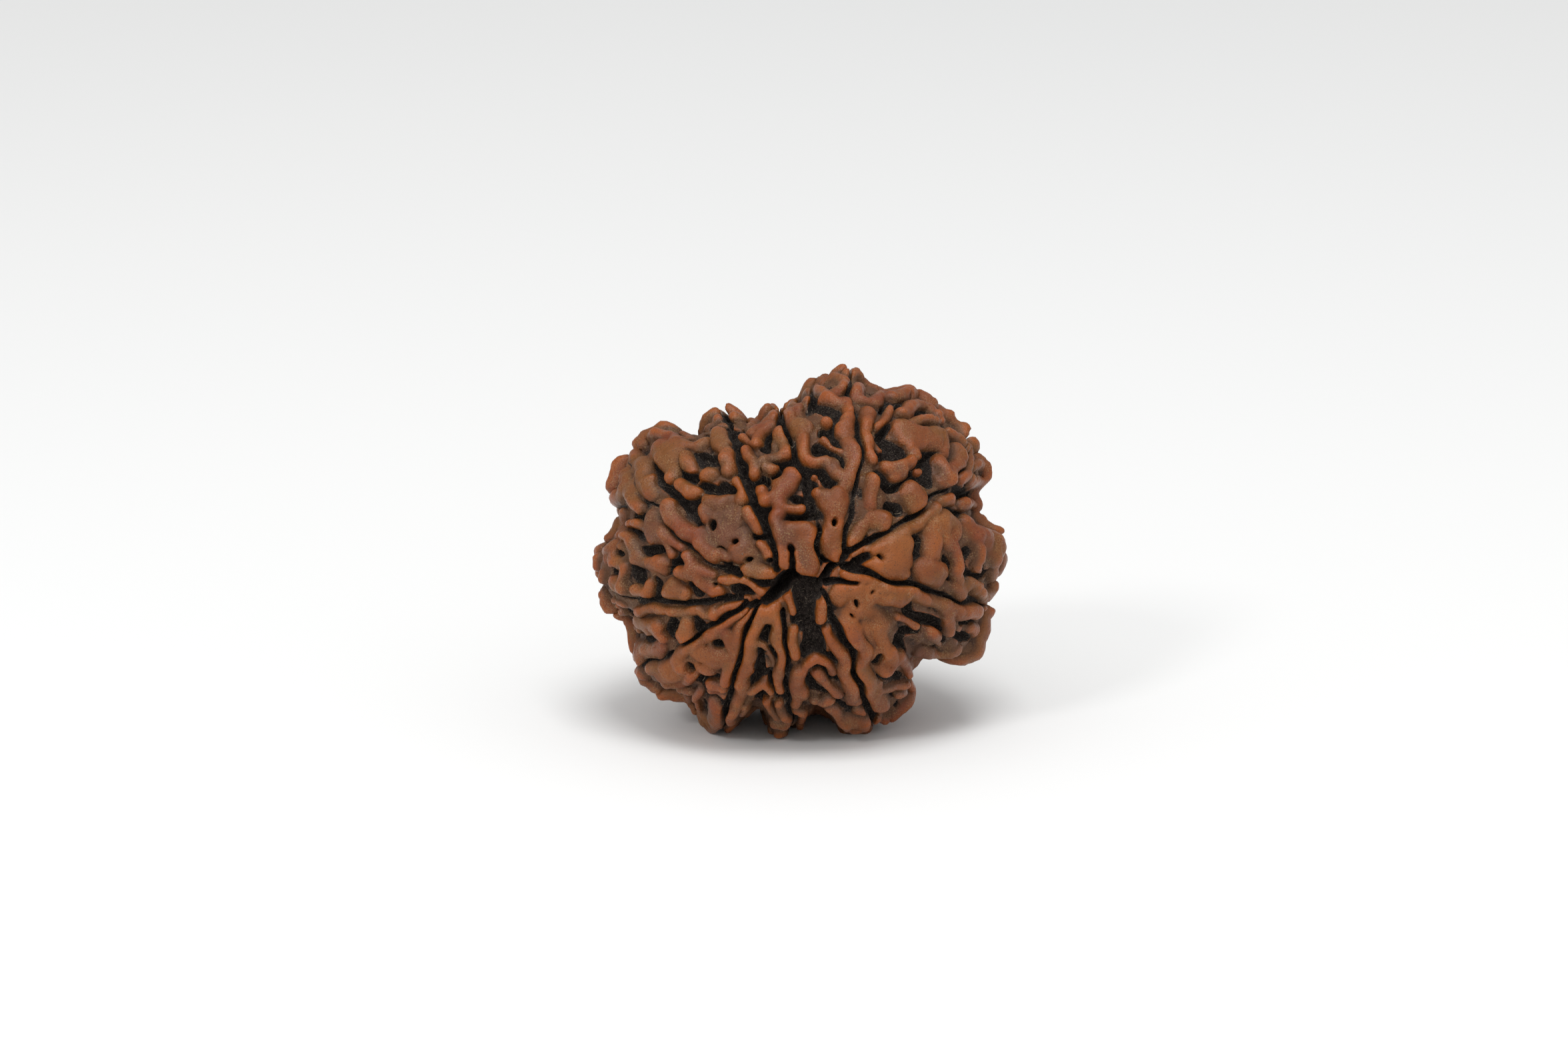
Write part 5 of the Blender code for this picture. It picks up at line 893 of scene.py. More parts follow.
@dataclass
class Growth:
    """The relief on the core: ridges joined smoothly, with clefts and pits sunk into them.

    Levels, ranges and depths without MM are in millimetres.
    """

    core: Core
    far_side: FarSide
    skin: float = 0.66 * MM
    skin_swell: Ripple = Ripple(1.7 * MM, 24, 0.07 * MM)
    rise: float = 0.64 * MM
    swell_rise: float = 0.34 * MM
    swell_fade: float = 0.35
    tint_fade: float = 0.30
    uneven_edge: Ripple = Ripple(1.5 * MM, 30, 0.038 * MM)
    edge_seed: int = 5
    full_rise_width: float = 0.20 * MM
    crown_drop: float = 0.46 * MM
    crown_power: float = 2.0
    flatter: float = 2.0
    flat_from: float = 0.4
    flat_over: float = 0.6
    wall_slope: float = 7.0
    ridge_blend: float = 0.19 * MM
    cut_blend: float = 0.08 * MM
    least_power: float = -30.0
    most_power: float = 60.0
    hollow: Cut = Cut(1.0, 0.07 * MM, -0.10 * MM, 6.0)
    groove: Cut = Cut(1.0, 0.06 * MM, 0.10 * MM, 8.0)
    crack: Cut = Cut(0.2, 0.04 * MM, -0.45 * MM, 16.0)
    pit: Cut = Cut(1.0, 0.10 * MM, 0.15 * MM, 6.0)
    hole: Cut = Cut(1.0, 0.06 * MM, -2.4 * MM, 8.0)
    plug: Cut = Cut(1.0, 0.0, -0.45 * MM, 5.0)
    far_cleft_widths: Span = (0.2, 0.24)
    gaps: Ripple = Ripple(2.4 * MM, 30)
    gap_levels: Span = (-0.75, -0.2)
    far_start: Span = (0.0, 0.25)
    reach: float = 0.9 * MM
    cleft_reach: float = 3.0
    dark_range: Span = (-0.3, 0.8)
    bulge: float = 0.10 * MM
    bulge_levels: Span = (0.55, 0.95)
    wobble: Ripple = Ripple(2.4 * MM, 24, 0.09 * MM)
    foot_cut: float = 0.16 * MM
    foot_margin: float = 0.35
    clearance: float = 0.10 * MM
    floor_levels: Span = (0.20, 0.50)
    crown_levels: Span = (0.7, 1.1)
    dents: tuple[Ripple, Ripple] = (Ripple(1.3 * MM, 40), Ripple(0.5 * MM, 40, 0.4))
    crown_dents: Ripple = Ripple(2.8 * MM, 30)
    crown_share: float = 1.4
    crust: tuple[Ripple, Ripple] = (Ripple(0.22 * MM, 50), Ripple(0.5 * MM, 30, 0.8))
    dent_depth: float = 0.052
    crust_depth: float = 0.07

    def __post_init__(self) -> None:
        """Lays out all ridges, hollows and cuts."""
        front_clefts = [self.core.drawn(row) for row in CLEFTS]
        far_clefts, far_ridges, back_hole = self.far_side.grow([line[0] for line in front_clefts])
        self.ridges: list[Line] = self.drawn_all(row for rows in FACES for row in rows)
        self.ridges += far_ridges + self.feet()
        self.swells = self.drawn_all(SWELLS)
        self.hollows = self.drawn_all(HOLLOWS)
        self.tints = {"golden": self.drawn_all(GOLDEN), "dusky": self.drawn_all(DUSKY)}
        clefts = front_clefts + [line_of(line, *self.far_cleft_widths) for line in far_clefts]
        self.cuts = [(line, cut) for cut in (self.groove, self.crack) for line in clefts]
        self.cuts += [(line, self.pit) for line in self.drawn_all(PITS)]
        self.cuts += [(line, self.plug) for line in self.drawn_all(HOLE_ARMS)]
        self.cuts += [(line, self.hole) for line in self.drawn_all(HOLES) + [back_hole]]

    def drawn_all(self, rows: Iterable[tuple[float, ...]]) -> list[Line]:
        """Turns laid-out rows into smooth lines on the seed."""
        return [self.core.drawn(row) for row in rows]

    def feet(self) -> list[Line]:
        """Makes the three low knobs that the seed rests on.

        Returns:
            The knobs, tall enough to be cut off flat.
        """
        knobs = []
        for x, y, half_width in FEET:
            low = np.array((x * MM, y * MM, 0.0)) - self.core.middle
            reach = np.linalg.norm(low)
            directions = np.repeat(unit(low)[None], 2, axis=0)
            floor = float(self.core.floor_radius(directions)[0])
            lift = reach * (1.0 + self.foot_cut / self.core.middle[2]) - floor - self.skin - self.rise
            knobs.append((directions, np.full(2, half_width * MM), np.full(2, lift)))
        return knobs

    def near(self, points: np.ndarray, headings: np.ndarray, line: Line) -> tuple[np.ndarray, ...]:
        """Finds which points lie near a line.

        Args:
            points: places on the layout level.
            headings: their directions.
            line: the line.
        Returns:
            The indices found, their distance from the line, and the line's width and lift at their foot.
        """
        directions, half_widths, lifts = line
        path = self.core.on_layout(directions)
        middle = unit(directions.mean(axis=0))
        spread = np.arccos(np.clip(directions @ middle, -1.0, 1.0)).max()
        limit = spread + (half_widths.max() + self.reach) / np.linalg.norm(path, axis=1).min()
        found = np.nonzero(headings @ middle.astype(np.float32) > math.cos(min(limit, math.pi)))[0]
        local = points[found]
        least = np.full(len(found), np.inf)
        width, lift = np.zeros(len(found)), np.zeros(len(found))
        for index in range(len(path) - 1):
            span = path[index + 1] - path[index]
            share = np.clip((local - path[index]) @ span / max(float(span @ span), LEAST_SQUARE), 0.0, 1.0)
            away = np.linalg.norm(local - path[index] - share[:, None] * span, axis=1)
            closer = away < least
            least = np.where(closer, away, least)
            here = half_widths[index] + share * (half_widths[index + 1] - half_widths[index])
            width = np.where(closer, here, width)
            lift = np.where(closer, lifts[index] + share * (lifts[index + 1] - lifts[index]), lift)
        return found, least, width, lift

    def ridge_height(self, away: np.ndarray, width: np.ndarray, lift: np.ndarray) -> np.ndarray:
        """Works out a ridge: a rounded crown, flatter on wide ones, then a steep wall.

        Args:
            away: the distance from the middle of the ridge.
            width: its half-width there.
            lift: its extra height there.
        Returns:
            The height over the floors.
        """
        top = self.skin + self.rise * (1.0 - np.exp(-width / self.full_rise_width)) + lift
        power = self.crown_power + self.flatter * np.clip(width / MM - self.flat_from, 0.0, self.flat_over)
        crown = self.crown_drop * np.clip(away / width, 0.0, 1.0) ** power
        return top - crown - self.wall_slope * np.maximum(away - width, 0.0)

    def sunk_by(self, wall: np.ndarray) -> np.ndarray:
        """Gives the weight of a cut's wall where heights are joined by the lowest."""
        return np.exp(-np.clip(wall / self.cut_blend, -self.most_power, self.most_power))

    def ground(
        self, points: np.ndarray, headings: np.ndarray, rng: np.random.Generator
    ) -> tuple[np.ndarray, np.ndarray]:
        """Works out the skin between the ridges, with its hollows: laid out in front, by chance behind.

        Args:
            points: places on the layout level, with their wobble.
            headings: their directions.
            rng: the seeded source of chance.
        Returns:
            The height over the floors, and the distance from the nearest hollow, in metres.
        """
        skin = self.skin + self.skin_swell.at(points, rng)
        skin += self.swell_rise * self.covered(points, headings, self.swells, self.swell_fade)
        gaps = smooth_step(self.gaps.at(points, rng), *self.gap_levels)
        behind = smooth_step(-(headings @ self.core.axes()[2]), *self.far_start)
        skin -= (skin - self.hollow.floor) * behind * (1.0 - gaps)
        sunk = np.exp(-skin / self.cut_blend)
        dark = self.dark_range[1] * MM * (1.0 - behind * (1.0 - gaps))
        for line in self.hollows:
            found, away, width, _ = self.near(points, headings, line)
            sunk[found] += self.sunk_by(self.hollow.wall(self.skin, away, width))
            dark[found] = np.minimum(dark[found], away - width)
        return -self.cut_blend * np.log(sunk), dark

    def covered(self, points: np.ndarray, headings: np.ndarray, lines: list[Line], fade: float) -> np.ndarray:
        """Works out how far each point lies inside broad lines.

        Args:
            points: places on the layout level.
            headings: their directions.
            lines: the lines.
            fade: the share of the half-width from which it falls.
        Returns:
            1 in the middle of a line, falling to 0 at its edges.
        """
        share = np.zeros(len(points))
        for line in lines:
            found, away, width, _ = self.near(points, headings, line)
            share[found] = np.maximum(share[found], 1.0 - smooth_step(away / width, fade, 1.0))
        return share

    def relief(
        self, points: np.ndarray, headings: np.ndarray, rng: np.random.Generator
    ) -> dict[str, np.ndarray]:
        """Works out the relief at each point.

        Args:
            points: places on the layout level, with their wobble.
            headings: their directions.
            rng: the seeded source of chance.
        Returns:
            height over the floors in metres; cleft, the distance from the middle of the nearest cleft in
            millimetres; dark, the distance from the edge of the nearest hollow, pit or cleft in millimetres;
            and golden and dusky, how much of these tones the stone has.
        """
        ground, dark = self.ground(points, headings, rng)
        uneven = self.uneven_edge.at(points, np.random.default_rng(self.edge_seed))
        raised = np.exp(ground / self.ridge_blend)
        cleft = np.full(len(points), self.cleft_reach)
        for line in self.ridges:
            found, away, width, lift = self.near(points, headings, line)
            height = self.ridge_height(np.maximum(away + uneven[found] * away / width, 0.0), width, lift)
            raised[found] += np.exp(np.clip(height / self.ridge_blend, self.least_power, self.most_power))
        top = self.ridge_blend * np.log(raised)
        sunk = np.exp(-top / self.cut_blend)
        for line, cut in self.cuts:
            found, away, width, _ = self.near(points, headings, line)
            sunk[found] += self.sunk_by(cut.wall(self.skin + self.rise, away, width))
            if cut == self.crack:
                cleft[found] = np.minimum(cleft[found], away / MM)
            dark[found] = np.minimum(dark[found], away - width)
        fields = {}
        for name, lines in self.tints.items():
            fields[name] = self.covered(points, headings, lines, self.tint_fade)
        fields["height"] = -self.cut_blend * np.log(sunk)
        fields["cleft"] = cleft
        fields["dark"] = np.clip(dark / MM, *self.dark_range)
        return fields

    def kept_clear(self, directions: np.ndarray, radius: np.ndarray) -> np.ndarray:
        """Holds everything but the feet a little above the surface that the seed rests on.

        Args:
            directions: unit vectors from the middle.
            radius: how far the surface lies along each.
        Returns:
            The radius, shortened where it would reach too low.
        """
        down = -directions[:, 2]
        limit = (self.core.middle[2] - self.clearance) / np.maximum(down, LEAST_FALL)
        low = directions * radius[:, None]
        for x, y, half_width in FEET:
            away = np.hypot(low[:, 0] - x * MM, low[:, 1] - y * MM)
            at_foot = away < (half_width + self.foot_margin) * MM
            limit = np.where(at_foot & (down > 0.0), np.inf, limit)
        return np.where(down > 0.0, np.minimum(radius, limit), radius)

    def grow(self, directions: np.ndarray) -> tuple[np.ndarray, dict[str, np.ndarray]]:
        """Finds where each direction from the middle meets the surface of the seed.

        Args:
            directions: unit vectors.
        Returns:
            The places in metres, and the fields that the finish reads.
        """
        rng = np.random.default_rng(self.far_side.seed)
        floor = self.core.floor_radius(directions)
        points = directions * (floor + self.core.layout_level)[:, None]
        points = points + np.stack([self.wobble.at(points, rng) for _ in range(3)], axis=1)
        fields = self.relief(points, directions.astype(np.float32), rng)
        radius = floor + fields["height"] + self.roughness(points, fields["height"] / MM, rng)
        places = directions * self.kept_clear(directions, radius)[:, None] + np.array(self.core.middle)
        return places, fields

    def roughness(self, points: np.ndarray, height: np.ndarray, rng: np.random.Generator) -> np.ndarray:
        """Works out the unevenness of the skin: soft dents on the crowns, torn crust on the floors.

        Args:
            points: places on the layout level.
            height: their height over the floors in millimetres.
            rng: the seeded source of chance.
        Returns:
            What it adds to the height, in metres.
        """
        low = 1.0 - smooth_step(height, *self.floor_levels)
        dents = self.dents[0].at(points, rng) + self.dents[1].at(points, rng)
        on_crown = self.crown_share * smooth_step(height, *self.crown_levels)
        dents += on_crown * self.crown_dents.at(points, rng)
        crust = self.crust[0].at(points, rng) + self.crust[1].at(points, rng)
        return (self.dent_depth * dents + self.crust_depth * low * crust) * MM


@dataclass(frozen=True)
class StoneFinish:
    """Dry woody fruit stone, cleaned by hand with a brush and left bare.

    It is matt lignin-rich wood that handling has worn to a satin on the crowns. What is left of the pulp has
    dried to a nearly black crust in the hollows, with ash grey flecks in it.
    """

    body: str = "#70370D"
    red: str = "#6E2C0C"
    tan: str = "#6C4213"
    # Tone of low ground: dustier skin, with painted shade mixed in
    skin: str = "#4C2E15"
    golden: str = "#8A4C1B"
    dusky: str = "#4A3020"
    warm: str = "#984A10"
    powder: str = "#866B48"
    soil: str = "#361E11"
    # Painted shade: the tone laid into concave creases
    shadow: str = "#3A2216"
    hollow: str = "#211814"
    crust: str = "#40362F"
    fleck: str = "#948877"
    ior: float = 1.5
    specular: float = 0.36
    dull: float = 0.62
    satin: float = 0.32
    crust_roughness: float = 0.9
    skin_strength: float = 0.35
    pore_depth: float = 0.30 * MM
    dust_strength: float = 0.6
    dust_depth: float = 0.04 * MM

    def sources(self, tree: bpy.types.NodeTree) -> Sockets:
        """Adds the fields of the mesh, the noises and the crust.

        Args:
            tree: the node tree.
        Returns:
            Their outputs by name.
        """
        place = put(tree, "ShaderNodeTexCoord", {}).outputs["Object"]
        source = {
            name: put(tree, "ShaderNodeAttribute", {"attribute_name": name}).outputs["Fac"]
            for name in ("height", "exposed", "cleft", "dark", "golden", "dusky")
        }
        # Sizes in millimetres of what each noise draws, then its detail and roughness
        noises = {
            "blotch": (4.0, 3.0, 0.55), "mottle": (1.2, 4.0, 0.62), "grain": (0.30, 4.0, 0.65),
            "flour": (0.085, 2.0, 0.60), "flakes": (0.17, 3.0, 0.70),
        }
        for name, (size, detail, rough) in noises.items():
            source[name] = put(tree, "ShaderNodeTexNoise", {
                "Vector": place, "Scale": 1.0 / (size * MM), "Detail": detail, "Roughness": rough,
            }).outputs["Fac"]
        # Crust keeps to low, sheltered ground by the hollows, and its edge is ragged
        crust = source["height"]
        for name, share in (("dark", 0.25), ("exposed", 0.5), ("mottle", 0.45), ("flakes", 0.3)):
            crust = put(tree, "ShaderNodeMath", {
                "operation": "MULTIPLY_ADD", 0: source[name], 1: share, 2: crust,
            }).outputs[0]
        source["crust"] = crust
        return source

    def masks(self, tree: bpy.types.NodeTree, source: Sockets) -> Sockets:
        """Adds the masks, each rising smoothly between two values of its source.

        Args:
            tree: the node tree.
            source: the sources by name.
        Returns:
            The masks by name.
        """
        edges = {
            "is_hollow": ("crust", 1.14, 0.88), "in_cleft": ("cleft", 0.20, 0.08),
            # The height mask darkens low ground: partly dustier skin, partly painted shade
            "is_skin": ("height", 1.26, 0.80), "is_red": ("blotch", 0.52, 0.66),
            "is_tan": ("blotch", 0.56, 0.40), "is_worn": ("exposed", 0.05, 0.40),
            # Exposure below 0.02 mm marks concave creases, which get painted shade
            "is_crown": ("exposed", 0.0, 0.25), "is_low": ("exposed", 0.02, -0.22),
            "is_dusty": ("mottle", 0.40, 0.62), "is_flaky": ("flakes", 0.48, 0.60),
            "is_floury": ("flour", 0.50, 0.66), "is_soiled": ("flour", 0.46, 0.36),
            "is_flecked": ("flour", 0.57, 0.66),
        }
        masks = {"golden": source["golden"], "dusky": source["dusky"]}
        for name, (origin, low, high) in edges.items():
            masks[name] = put(tree, "ShaderNodeMapRange", {
                "interpolation_type": "SMOOTHSTEP", "Value": source[origin],
                "From Min": low, "From Max": high,
            }).outputs["Result"]
        return masks

    def colour(self, tree: bpy.types.NodeTree, masks: Sockets) -> bpy.types.NodeSocket:
        """Lays the tones over the body colour, one after another.

        Args:
            tree: the node tree.
            masks: the masks by name.
        Returns:
            The colour.
        """
        # Two masks whose product says where a tone lies, its strength and the tone
        layers = (
            ("is_red", "is_red", 0.6, self.red), ("is_tan", "is_tan", 0.65, self.tan),
            # Low ground takes the skin tone: dustier skin and painted shade together
            ("golden", "golden", 0.65, self.golden), ("is_skin", "is_skin", 0.85, self.skin),
            ("dusky", "dusky", 0.5, self.dusky), ("is_worn", "is_worn", 0.55, self.warm),
            # Painted shade: concave creases darkened with the shadow tone
            ("is_low", "is_low", 0.7, self.shadow), ("is_dusty", "is_floury", 0.6, self.powder),
            ("is_soiled", "is_soiled", 0.45, self.soil), ("is_hollow", "is_hollow", 0.95, self.hollow),
            ("in_cleft", "in_cleft", 0.92, self.hollow), ("is_hollow", "is_flaky", 0.7, self.crust),
            ("is_hollow", "is_flecked", 0.35, self.fleck),
        )
        colour: object = linear(self.body)
        for first, second, strength, tone in layers:
            both = put(tree, "ShaderNodeMath", {"operation": "MULTIPLY", 0: masks[first], 1: masks[second]})
            part = put(tree, "ShaderNodeMath", {"operation": "MULTIPLY", 0: both.outputs[0], 1: strength})
            colour = put(tree, "ShaderNodeMix", {
                "data_type": "RGBA", 0: part.outputs[0], 6: colour, 7: linear(tone),
            }).outputs[2]
        return colour

    def relief(
        self, tree: bpy.types.NodeTree, source: Sockets, hollow: bpy.types.NodeSocket
    ) -> bpy.types.Node:
        """Adds the fine skin of the wood: 0.30 mm pores and 0.085 mm dust, and 0.17 mm flakes in the crust.

        Args:
            tree: the node tree.
            source: the sources by name.
            hollow: the mask of the crust.
        Returns:
            The last bump node.
        """
        skin = put(tree, "ShaderNodeMix", {
            "data_type": "FLOAT", 0: hollow, 2: source["grain"], 3: source["flakes"],
        }).outputs[0]
        depth = put(tree, "ShaderNodeMapRange", {
            "Value": hollow, "To Min": self.skin_strength, "To Max": 1.0,
        }).outputs["Result"]
        bump = put(tree, "ShaderNodeBump", {"Strength": depth, "Distance": self.pore_depth, "Height": skin})
        return put(tree, "ShaderNodeBump", {
            "Strength": self.dust_strength, "Distance": self.dust_depth, "Height": source["flour"],
            "Normal": bump.outputs["Normal"],
        })

    def make(self) -> bpy.types.Material:
        """Makes the material.

        Returns:
            The material, satin on the crowns and dull in the crust.
        """
        material, tree, shader = new_material("dry woody stone")
        source = self.sources(tree)
        masks = self.masks(tree, source)
        tree.links.new(self.colour(tree, masks), shader.inputs["Base Color"])
        rough = put(tree, "ShaderNodeMapRange", {
            "Value": masks["is_crown"], "To Min": self.dull, "To Max": self.satin,
        }).outputs["Result"]
        rough = put(tree, "ShaderNodeMix", {
            "data_type": "FLOAT", 0: masks["is_hollow"], 2: rough, 3: self.crust_roughness,
        }).outputs[0]
        tree.links.new(rough, shader.inputs["Roughness"])
        fine = self.relief(tree, source, masks["is_hollow"])
        tree.links.new(fine.outputs["Normal"], shader.inputs["Normal"])
        shader.inputs["IOR"].default_value = self.ior
        shader.inputs["Specular IOR Level"].default_value = self.specular
        shader.inputs["Metallic"].default_value = 0.0
        return material


@dataclass(frozen=True)
class StrawFinish:
    """Dried pulp fibre: pale straw-coloured cellulose, dull, each thread of its own tone."""

    pale: str = "#A3937A"
    brown: str = "#43352A"
    roughness: float = 0.7

    def make(self, name: str) -> bpy.types.Material:
        """Makes the material.

        Args:
            name: the material's name.
        Returns:
            The material.
        """
        material, tree, shader = new_material(name)
        tone = put(tree, "ShaderNodeAttribute", {"attribute_name": "tone"}).outputs["Fac"]
        colour = put(tree, "ShaderNodeMix", {
            "data_type": "RGBA", 0: tone, 6: linear(self.brown), 7: linear(self.pale),
        })
        tree.links.new(colour.outputs[2], shader.inputs["Base Color"])
        shader.inputs["Roughness"].default_value = self.roughness
        return material


@dataclass(frozen=True)
class TableFinish:
    """Matt white card, sprayed evenly: pale, with no gloss and the faintest unevenness of tone."""

    near: str = "#E8E8E7"
    far: str = "#E5E6E6"
    clouds_per_metre: float = 6.0
    cloud_detail: float = 2.0
    roughness: float = 0.85

    def make(self) -> bpy.types.Material:
        """Makes the material.

        Returns:
            The material.
        """
        material, tree, shader = new_material("matt white card")
        place = put(tree, "ShaderNodeTexCoord", {}).outputs["Object"]
        cloud = put(tree, "ShaderNodeTexNoise", {
            "Vector": place, "Scale": self.clouds_per_metre, "Detail": self.cloud_detail,
        })
        colour = put(tree, "ShaderNodeMix", {
            "data_type": "RGBA", 0: cloud.outputs["Fac"], 6: linear(self.near), 7: linear(self.far),
        })
        tree.links.new(colour.outputs[2], shader.inputs["Base Color"])
        shader.inputs["Roughness"].default_value = self.roughness
        return material


@dataclass
class Stone:
    """The woody stone of the seed, one body grown whole."""

    growth: Growth
    detail: Detail

    def directions(self, mesh: bpy.types.Mesh) -> np.ndarray:
        """Reads the vertices of a sphere.

        Args:
            mesh: the sphere's mesh.
        Returns:
            Their unit directions.
        """
        flat = np.empty(len(mesh.vertices) * 3, np.float32)
        mesh.vertices.foreach_get("co", flat)
        return unit(flat.reshape(-1, 3).astype(float))

    def move(self, mesh: bpy.types.Mesh, places: np.ndarray) -> None:
        """Moves the vertices of a mesh to new places."""
        mesh.vertices.foreach_set("co", places.astype(np.float32).ravel())
        mesh.update()

    def build(self) -> bpy.types.Object:
        """Builds the stone: a fine sphere drawn out to its relief, then thinned to the triangles kept.

        Returns:
            The stone.
        """
        level, kept, rounds = self.detail.value
        bpy.ops.object.select_all(action="DESELECT")
        bpy.ops.mesh.primitive_ico_sphere_add(subdivisions=level, radius=1.0)
        stone = bpy.context.active_object
        stone.name = "seed_stone"
        mesh = stone.data
        places, fields = self.growth.grow(self.directions(mesh))
        self.move(mesh, places)
        places += self.overhang(mesh, places, fields["height"])
        places[:, 2] = np.maximum(places[:, 2], 0.0)
        self.move(mesh, places)
        fields["height"] = fields["height"] / MM
        fields["exposed"] = self.exposure(mesh, places, rounds)
        for name, values in fields.items():
            layer = mesh.attributes.new(name, "FLOAT", "POINT")
            layer.data.foreach_set("value", values.astype(np.float32))
        if len(mesh.polygons) > kept:
            thin = stone.modifiers.new("thinning", "DECIMATE")
            thin.ratio = kept / len(mesh.polygons)
            bpy.ops.object.modifier_apply(modifier=thin.name)
        stone.data.shade_smooth()
        LOG.info("stone: %d triangles", len(stone.data.polygons))
        return stone

    def overhang(self, mesh: bpy.types.Mesh, places: np.ndarray, height: np.ndarray) -> np.ndarray:
        """Works out the sideways swelling of the crowns over their walls.

        Args:
            mesh: the mesh, with the places set.
            places: its vertices.
            height: their height over the floors in metres.
        Returns:
            How far each vertex moves.
        """
        flat = np.empty(len(places) * 3, np.float32)
        mesh.vertex_normals.foreach_get("vector", flat)
        normals = flat.reshape(-1, 3).astype(float)
        out = unit(places - np.array(self.growth.core.middle))
        sideways = normals - np.einsum("ij,ij->i", normals, out)[:, None] * out
        weight = smooth_step(height / MM, *self.growth.bulge_levels) * self.growth.bulge
        return sideways * weight[:, None]

    def exposure(self, mesh: bpy.types.Mesh, places: np.ndarray, rounds: int) -> np.ndarray:
        """Works out how far each place stands over the ground round it.

        Args:
            mesh: the mesh.
            places: its vertices.
            rounds: how often the radius is blurred from neighbour to neighbour.
        Returns:
            The height in millimetres: above 0 on edges and knobs.
        """
        count = len(places)
        radius = np.linalg.norm(places - np.array(self.growth.core.middle), axis=1) / MM
        ends = np.empty(len(mesh.edges) * 2, np.int32)
        mesh.edges.foreach_get("vertices", ends)
        first, second = ends.reshape(-1, 2).T
        share = np.bincount(first, minlength=count) + np.bincount(second, minlength=count) + 1.0
        blurred = radius.copy()
        for _ in range(rounds):
            total = np.bincount(first, blurred[second], count) + np.bincount(second, blurred[first], count)
            blurred = (total + blurred) / share
        return radius - blurred

    def dress(self, stone: bpy.types.Object) -> None:
        """Gives the stone its finish and its place in the frame.

        Args:
            stone: the stone.
        """
        stone.data.materials.clear()
        stone.data.materials.append(StoneFinish().make())
        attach(stone, "root")
        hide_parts("rudraksha_seed")


@dataclass
class Litter:
    """Threads of dried pulp and grains of dust, caught in the hollows and along the clefts.

    Levels, lengths and sizes without MM are in millimetres.
    """

    growth: Growth
    seed: int = 11
    threads: int = 4200
    grains: int = 900
    thread_half_width: float = 0.011 * MM
    long_share: float = 0.02
    lowest: float = 0.5 * MM
    tries_each: int = 14
    clumps: Ripple = Ripple(2.2 * MM, 20)
    scatter: float = 0.6
    edge_middle: float = 0.02
    edge_reach: float = 0.14
    edge_height: float = 0.95 * MM
    floor_height: float = 0.3 * MM
    floor_clump: float = 1.1
    curl: float = 0.5
    seed_radius: float = 11.0 * MM
    least_length: float = 0.08
    more_length: float = 0.40
    long_times: float = 4.0
    lifts: Span = (0.2, 1.6)
    tone_power: float = 2.2
    uneven: Span = (0.6, 1.3)
    thick_from: float = 0.6 * MM
    thick_times: float = 2.0
    tip_share: float = 0.35
    tube_angles: tuple[float, float, float] = (0.0, 2.1, 4.2)
    least_grain: float = 0.010
    more_grain: float = 0.022
    grain_tones: Span = (0.1, 0.8)

    def resting_places(self, count: int, rng: np.random.Generator) -> np.ndarray:
        """Finds places in clumps, along the edges of the crust and here and there on it.

        Args:
            count: how many at most.
            rng: the seeded source of chance.
        Returns:
            Their directions.
        """
        tries = unit(rng.normal(size=(count * self.tries_each, 3)))
        places, fields = self.growth.grow(tries)
        clumps = self.clumps.at(places, rng) + self.scatter * rng.normal(size=len(tries))
        at_edge = np.abs(fields["dark"] - self.edge_middle) < self.edge_reach
        at_edge = at_edge & (fields["height"] < self.edge_height) & (clumps > 0.0)
        caught = at_edge | (fields["height"] < self.floor_height) & (clumps > self.floor_clump)
        return tries[caught & (places[:, 2] > self.lowest)][:count]

    def thread(self, start: np.ndarray, rng: np.random.Generator, length: float) -> np.ndarray:
        """Draws a thread that curls a little.

        Args:
            start: the direction of its first end.
            rng: the seeded source of chance.
            length: its length in metres.
        Returns:
            Four directions along it.
        """
        heading = unit(np.cross(start, rng.normal(size=3)))
        turn = rng.normal() * self.curl
        line = [start]
        for _ in range(3):
            side = np.cross(line[-1], heading)
            heading = unit(heading + side * turn)
            line.append(unit(line[-1] + heading * length / 3.0 / self.seed_radius))
        return np.array(line)

    def build(self) -> list[bpy.types.Object]:
        """Builds the threads and the grains as one mesh each.

        Returns:
            The two objects.
        """
        rng = np.random.default_rng(self.seed)
        starts = self.resting_places(self.threads, rng)
        lengths = (self.least_length + self.more_length * rng.uniform(size=len(starts)) ** 2) * MM
        lengths[rng.uniform(size=len(starts)) < self.long_share] *= self.long_times
        lines = np.array([self.thread(start, rng, length) for start, length in zip(starts, lengths)])
        out = lines.reshape(-1, 3)
        places, _ = self.growth.grow(out)
        lift = rng.uniform(*self.lifts, len(out))[:, None] * self.thread_half_width
        places = (places + out * lift).reshape(-1, 4, 3)
        return [self.threads_mesh(places, lines, rng), self.grains_mesh(rng)]

    def threads_mesh(
        self, places: np.ndarray, outs: np.ndarray, rng: np.random.Generator
    ) -> bpy.types.Object:
        """Makes three-sided tubes along the threads.

        Args:
            places: four places along each thread.
            outs: the outward directions there.
            rng: the seeded source of chance.
        Returns:
            The object.
        """
        vertices, faces, tones = [], [], []
        for line, out in zip(places, outs):
            tone = rng.uniform() ** self.tone_power
            base = len(vertices)
            thick = 1.0 if np.linalg.norm(line[-1] - line[0]) < self.thick_from else self.thick_times
            width = self.thread_half_width * rng.uniform(*self.uneven) * thick
            for index in range(4):
                before, after = line[max(index - 1, 0)], line[min(index + 1, 3)]
                side = unit(np.cross(after - before, out[index]))
                size = width * (self.tip_share if index in (0, 3) else 1.0)
                for angle in self.tube_angles:
                    offset = side * math.cos(angle) + out[index] * math.sin(angle)
                    vertices.append(line[index] + offset * size)
                    tones.append(tone)
            for index in range(3):
                for corner in range(3):
                    a, b = base + 3 * index + corner, base + 3 * index + (corner + 1) % 3
                    faces.append((a, b, b + 3, a + 3))
            faces += [(base + 2, base + 1, base), (base + 9, base + 10, base + 11)]
        return self.finished("pulp_threads", vertices, faces, tones)

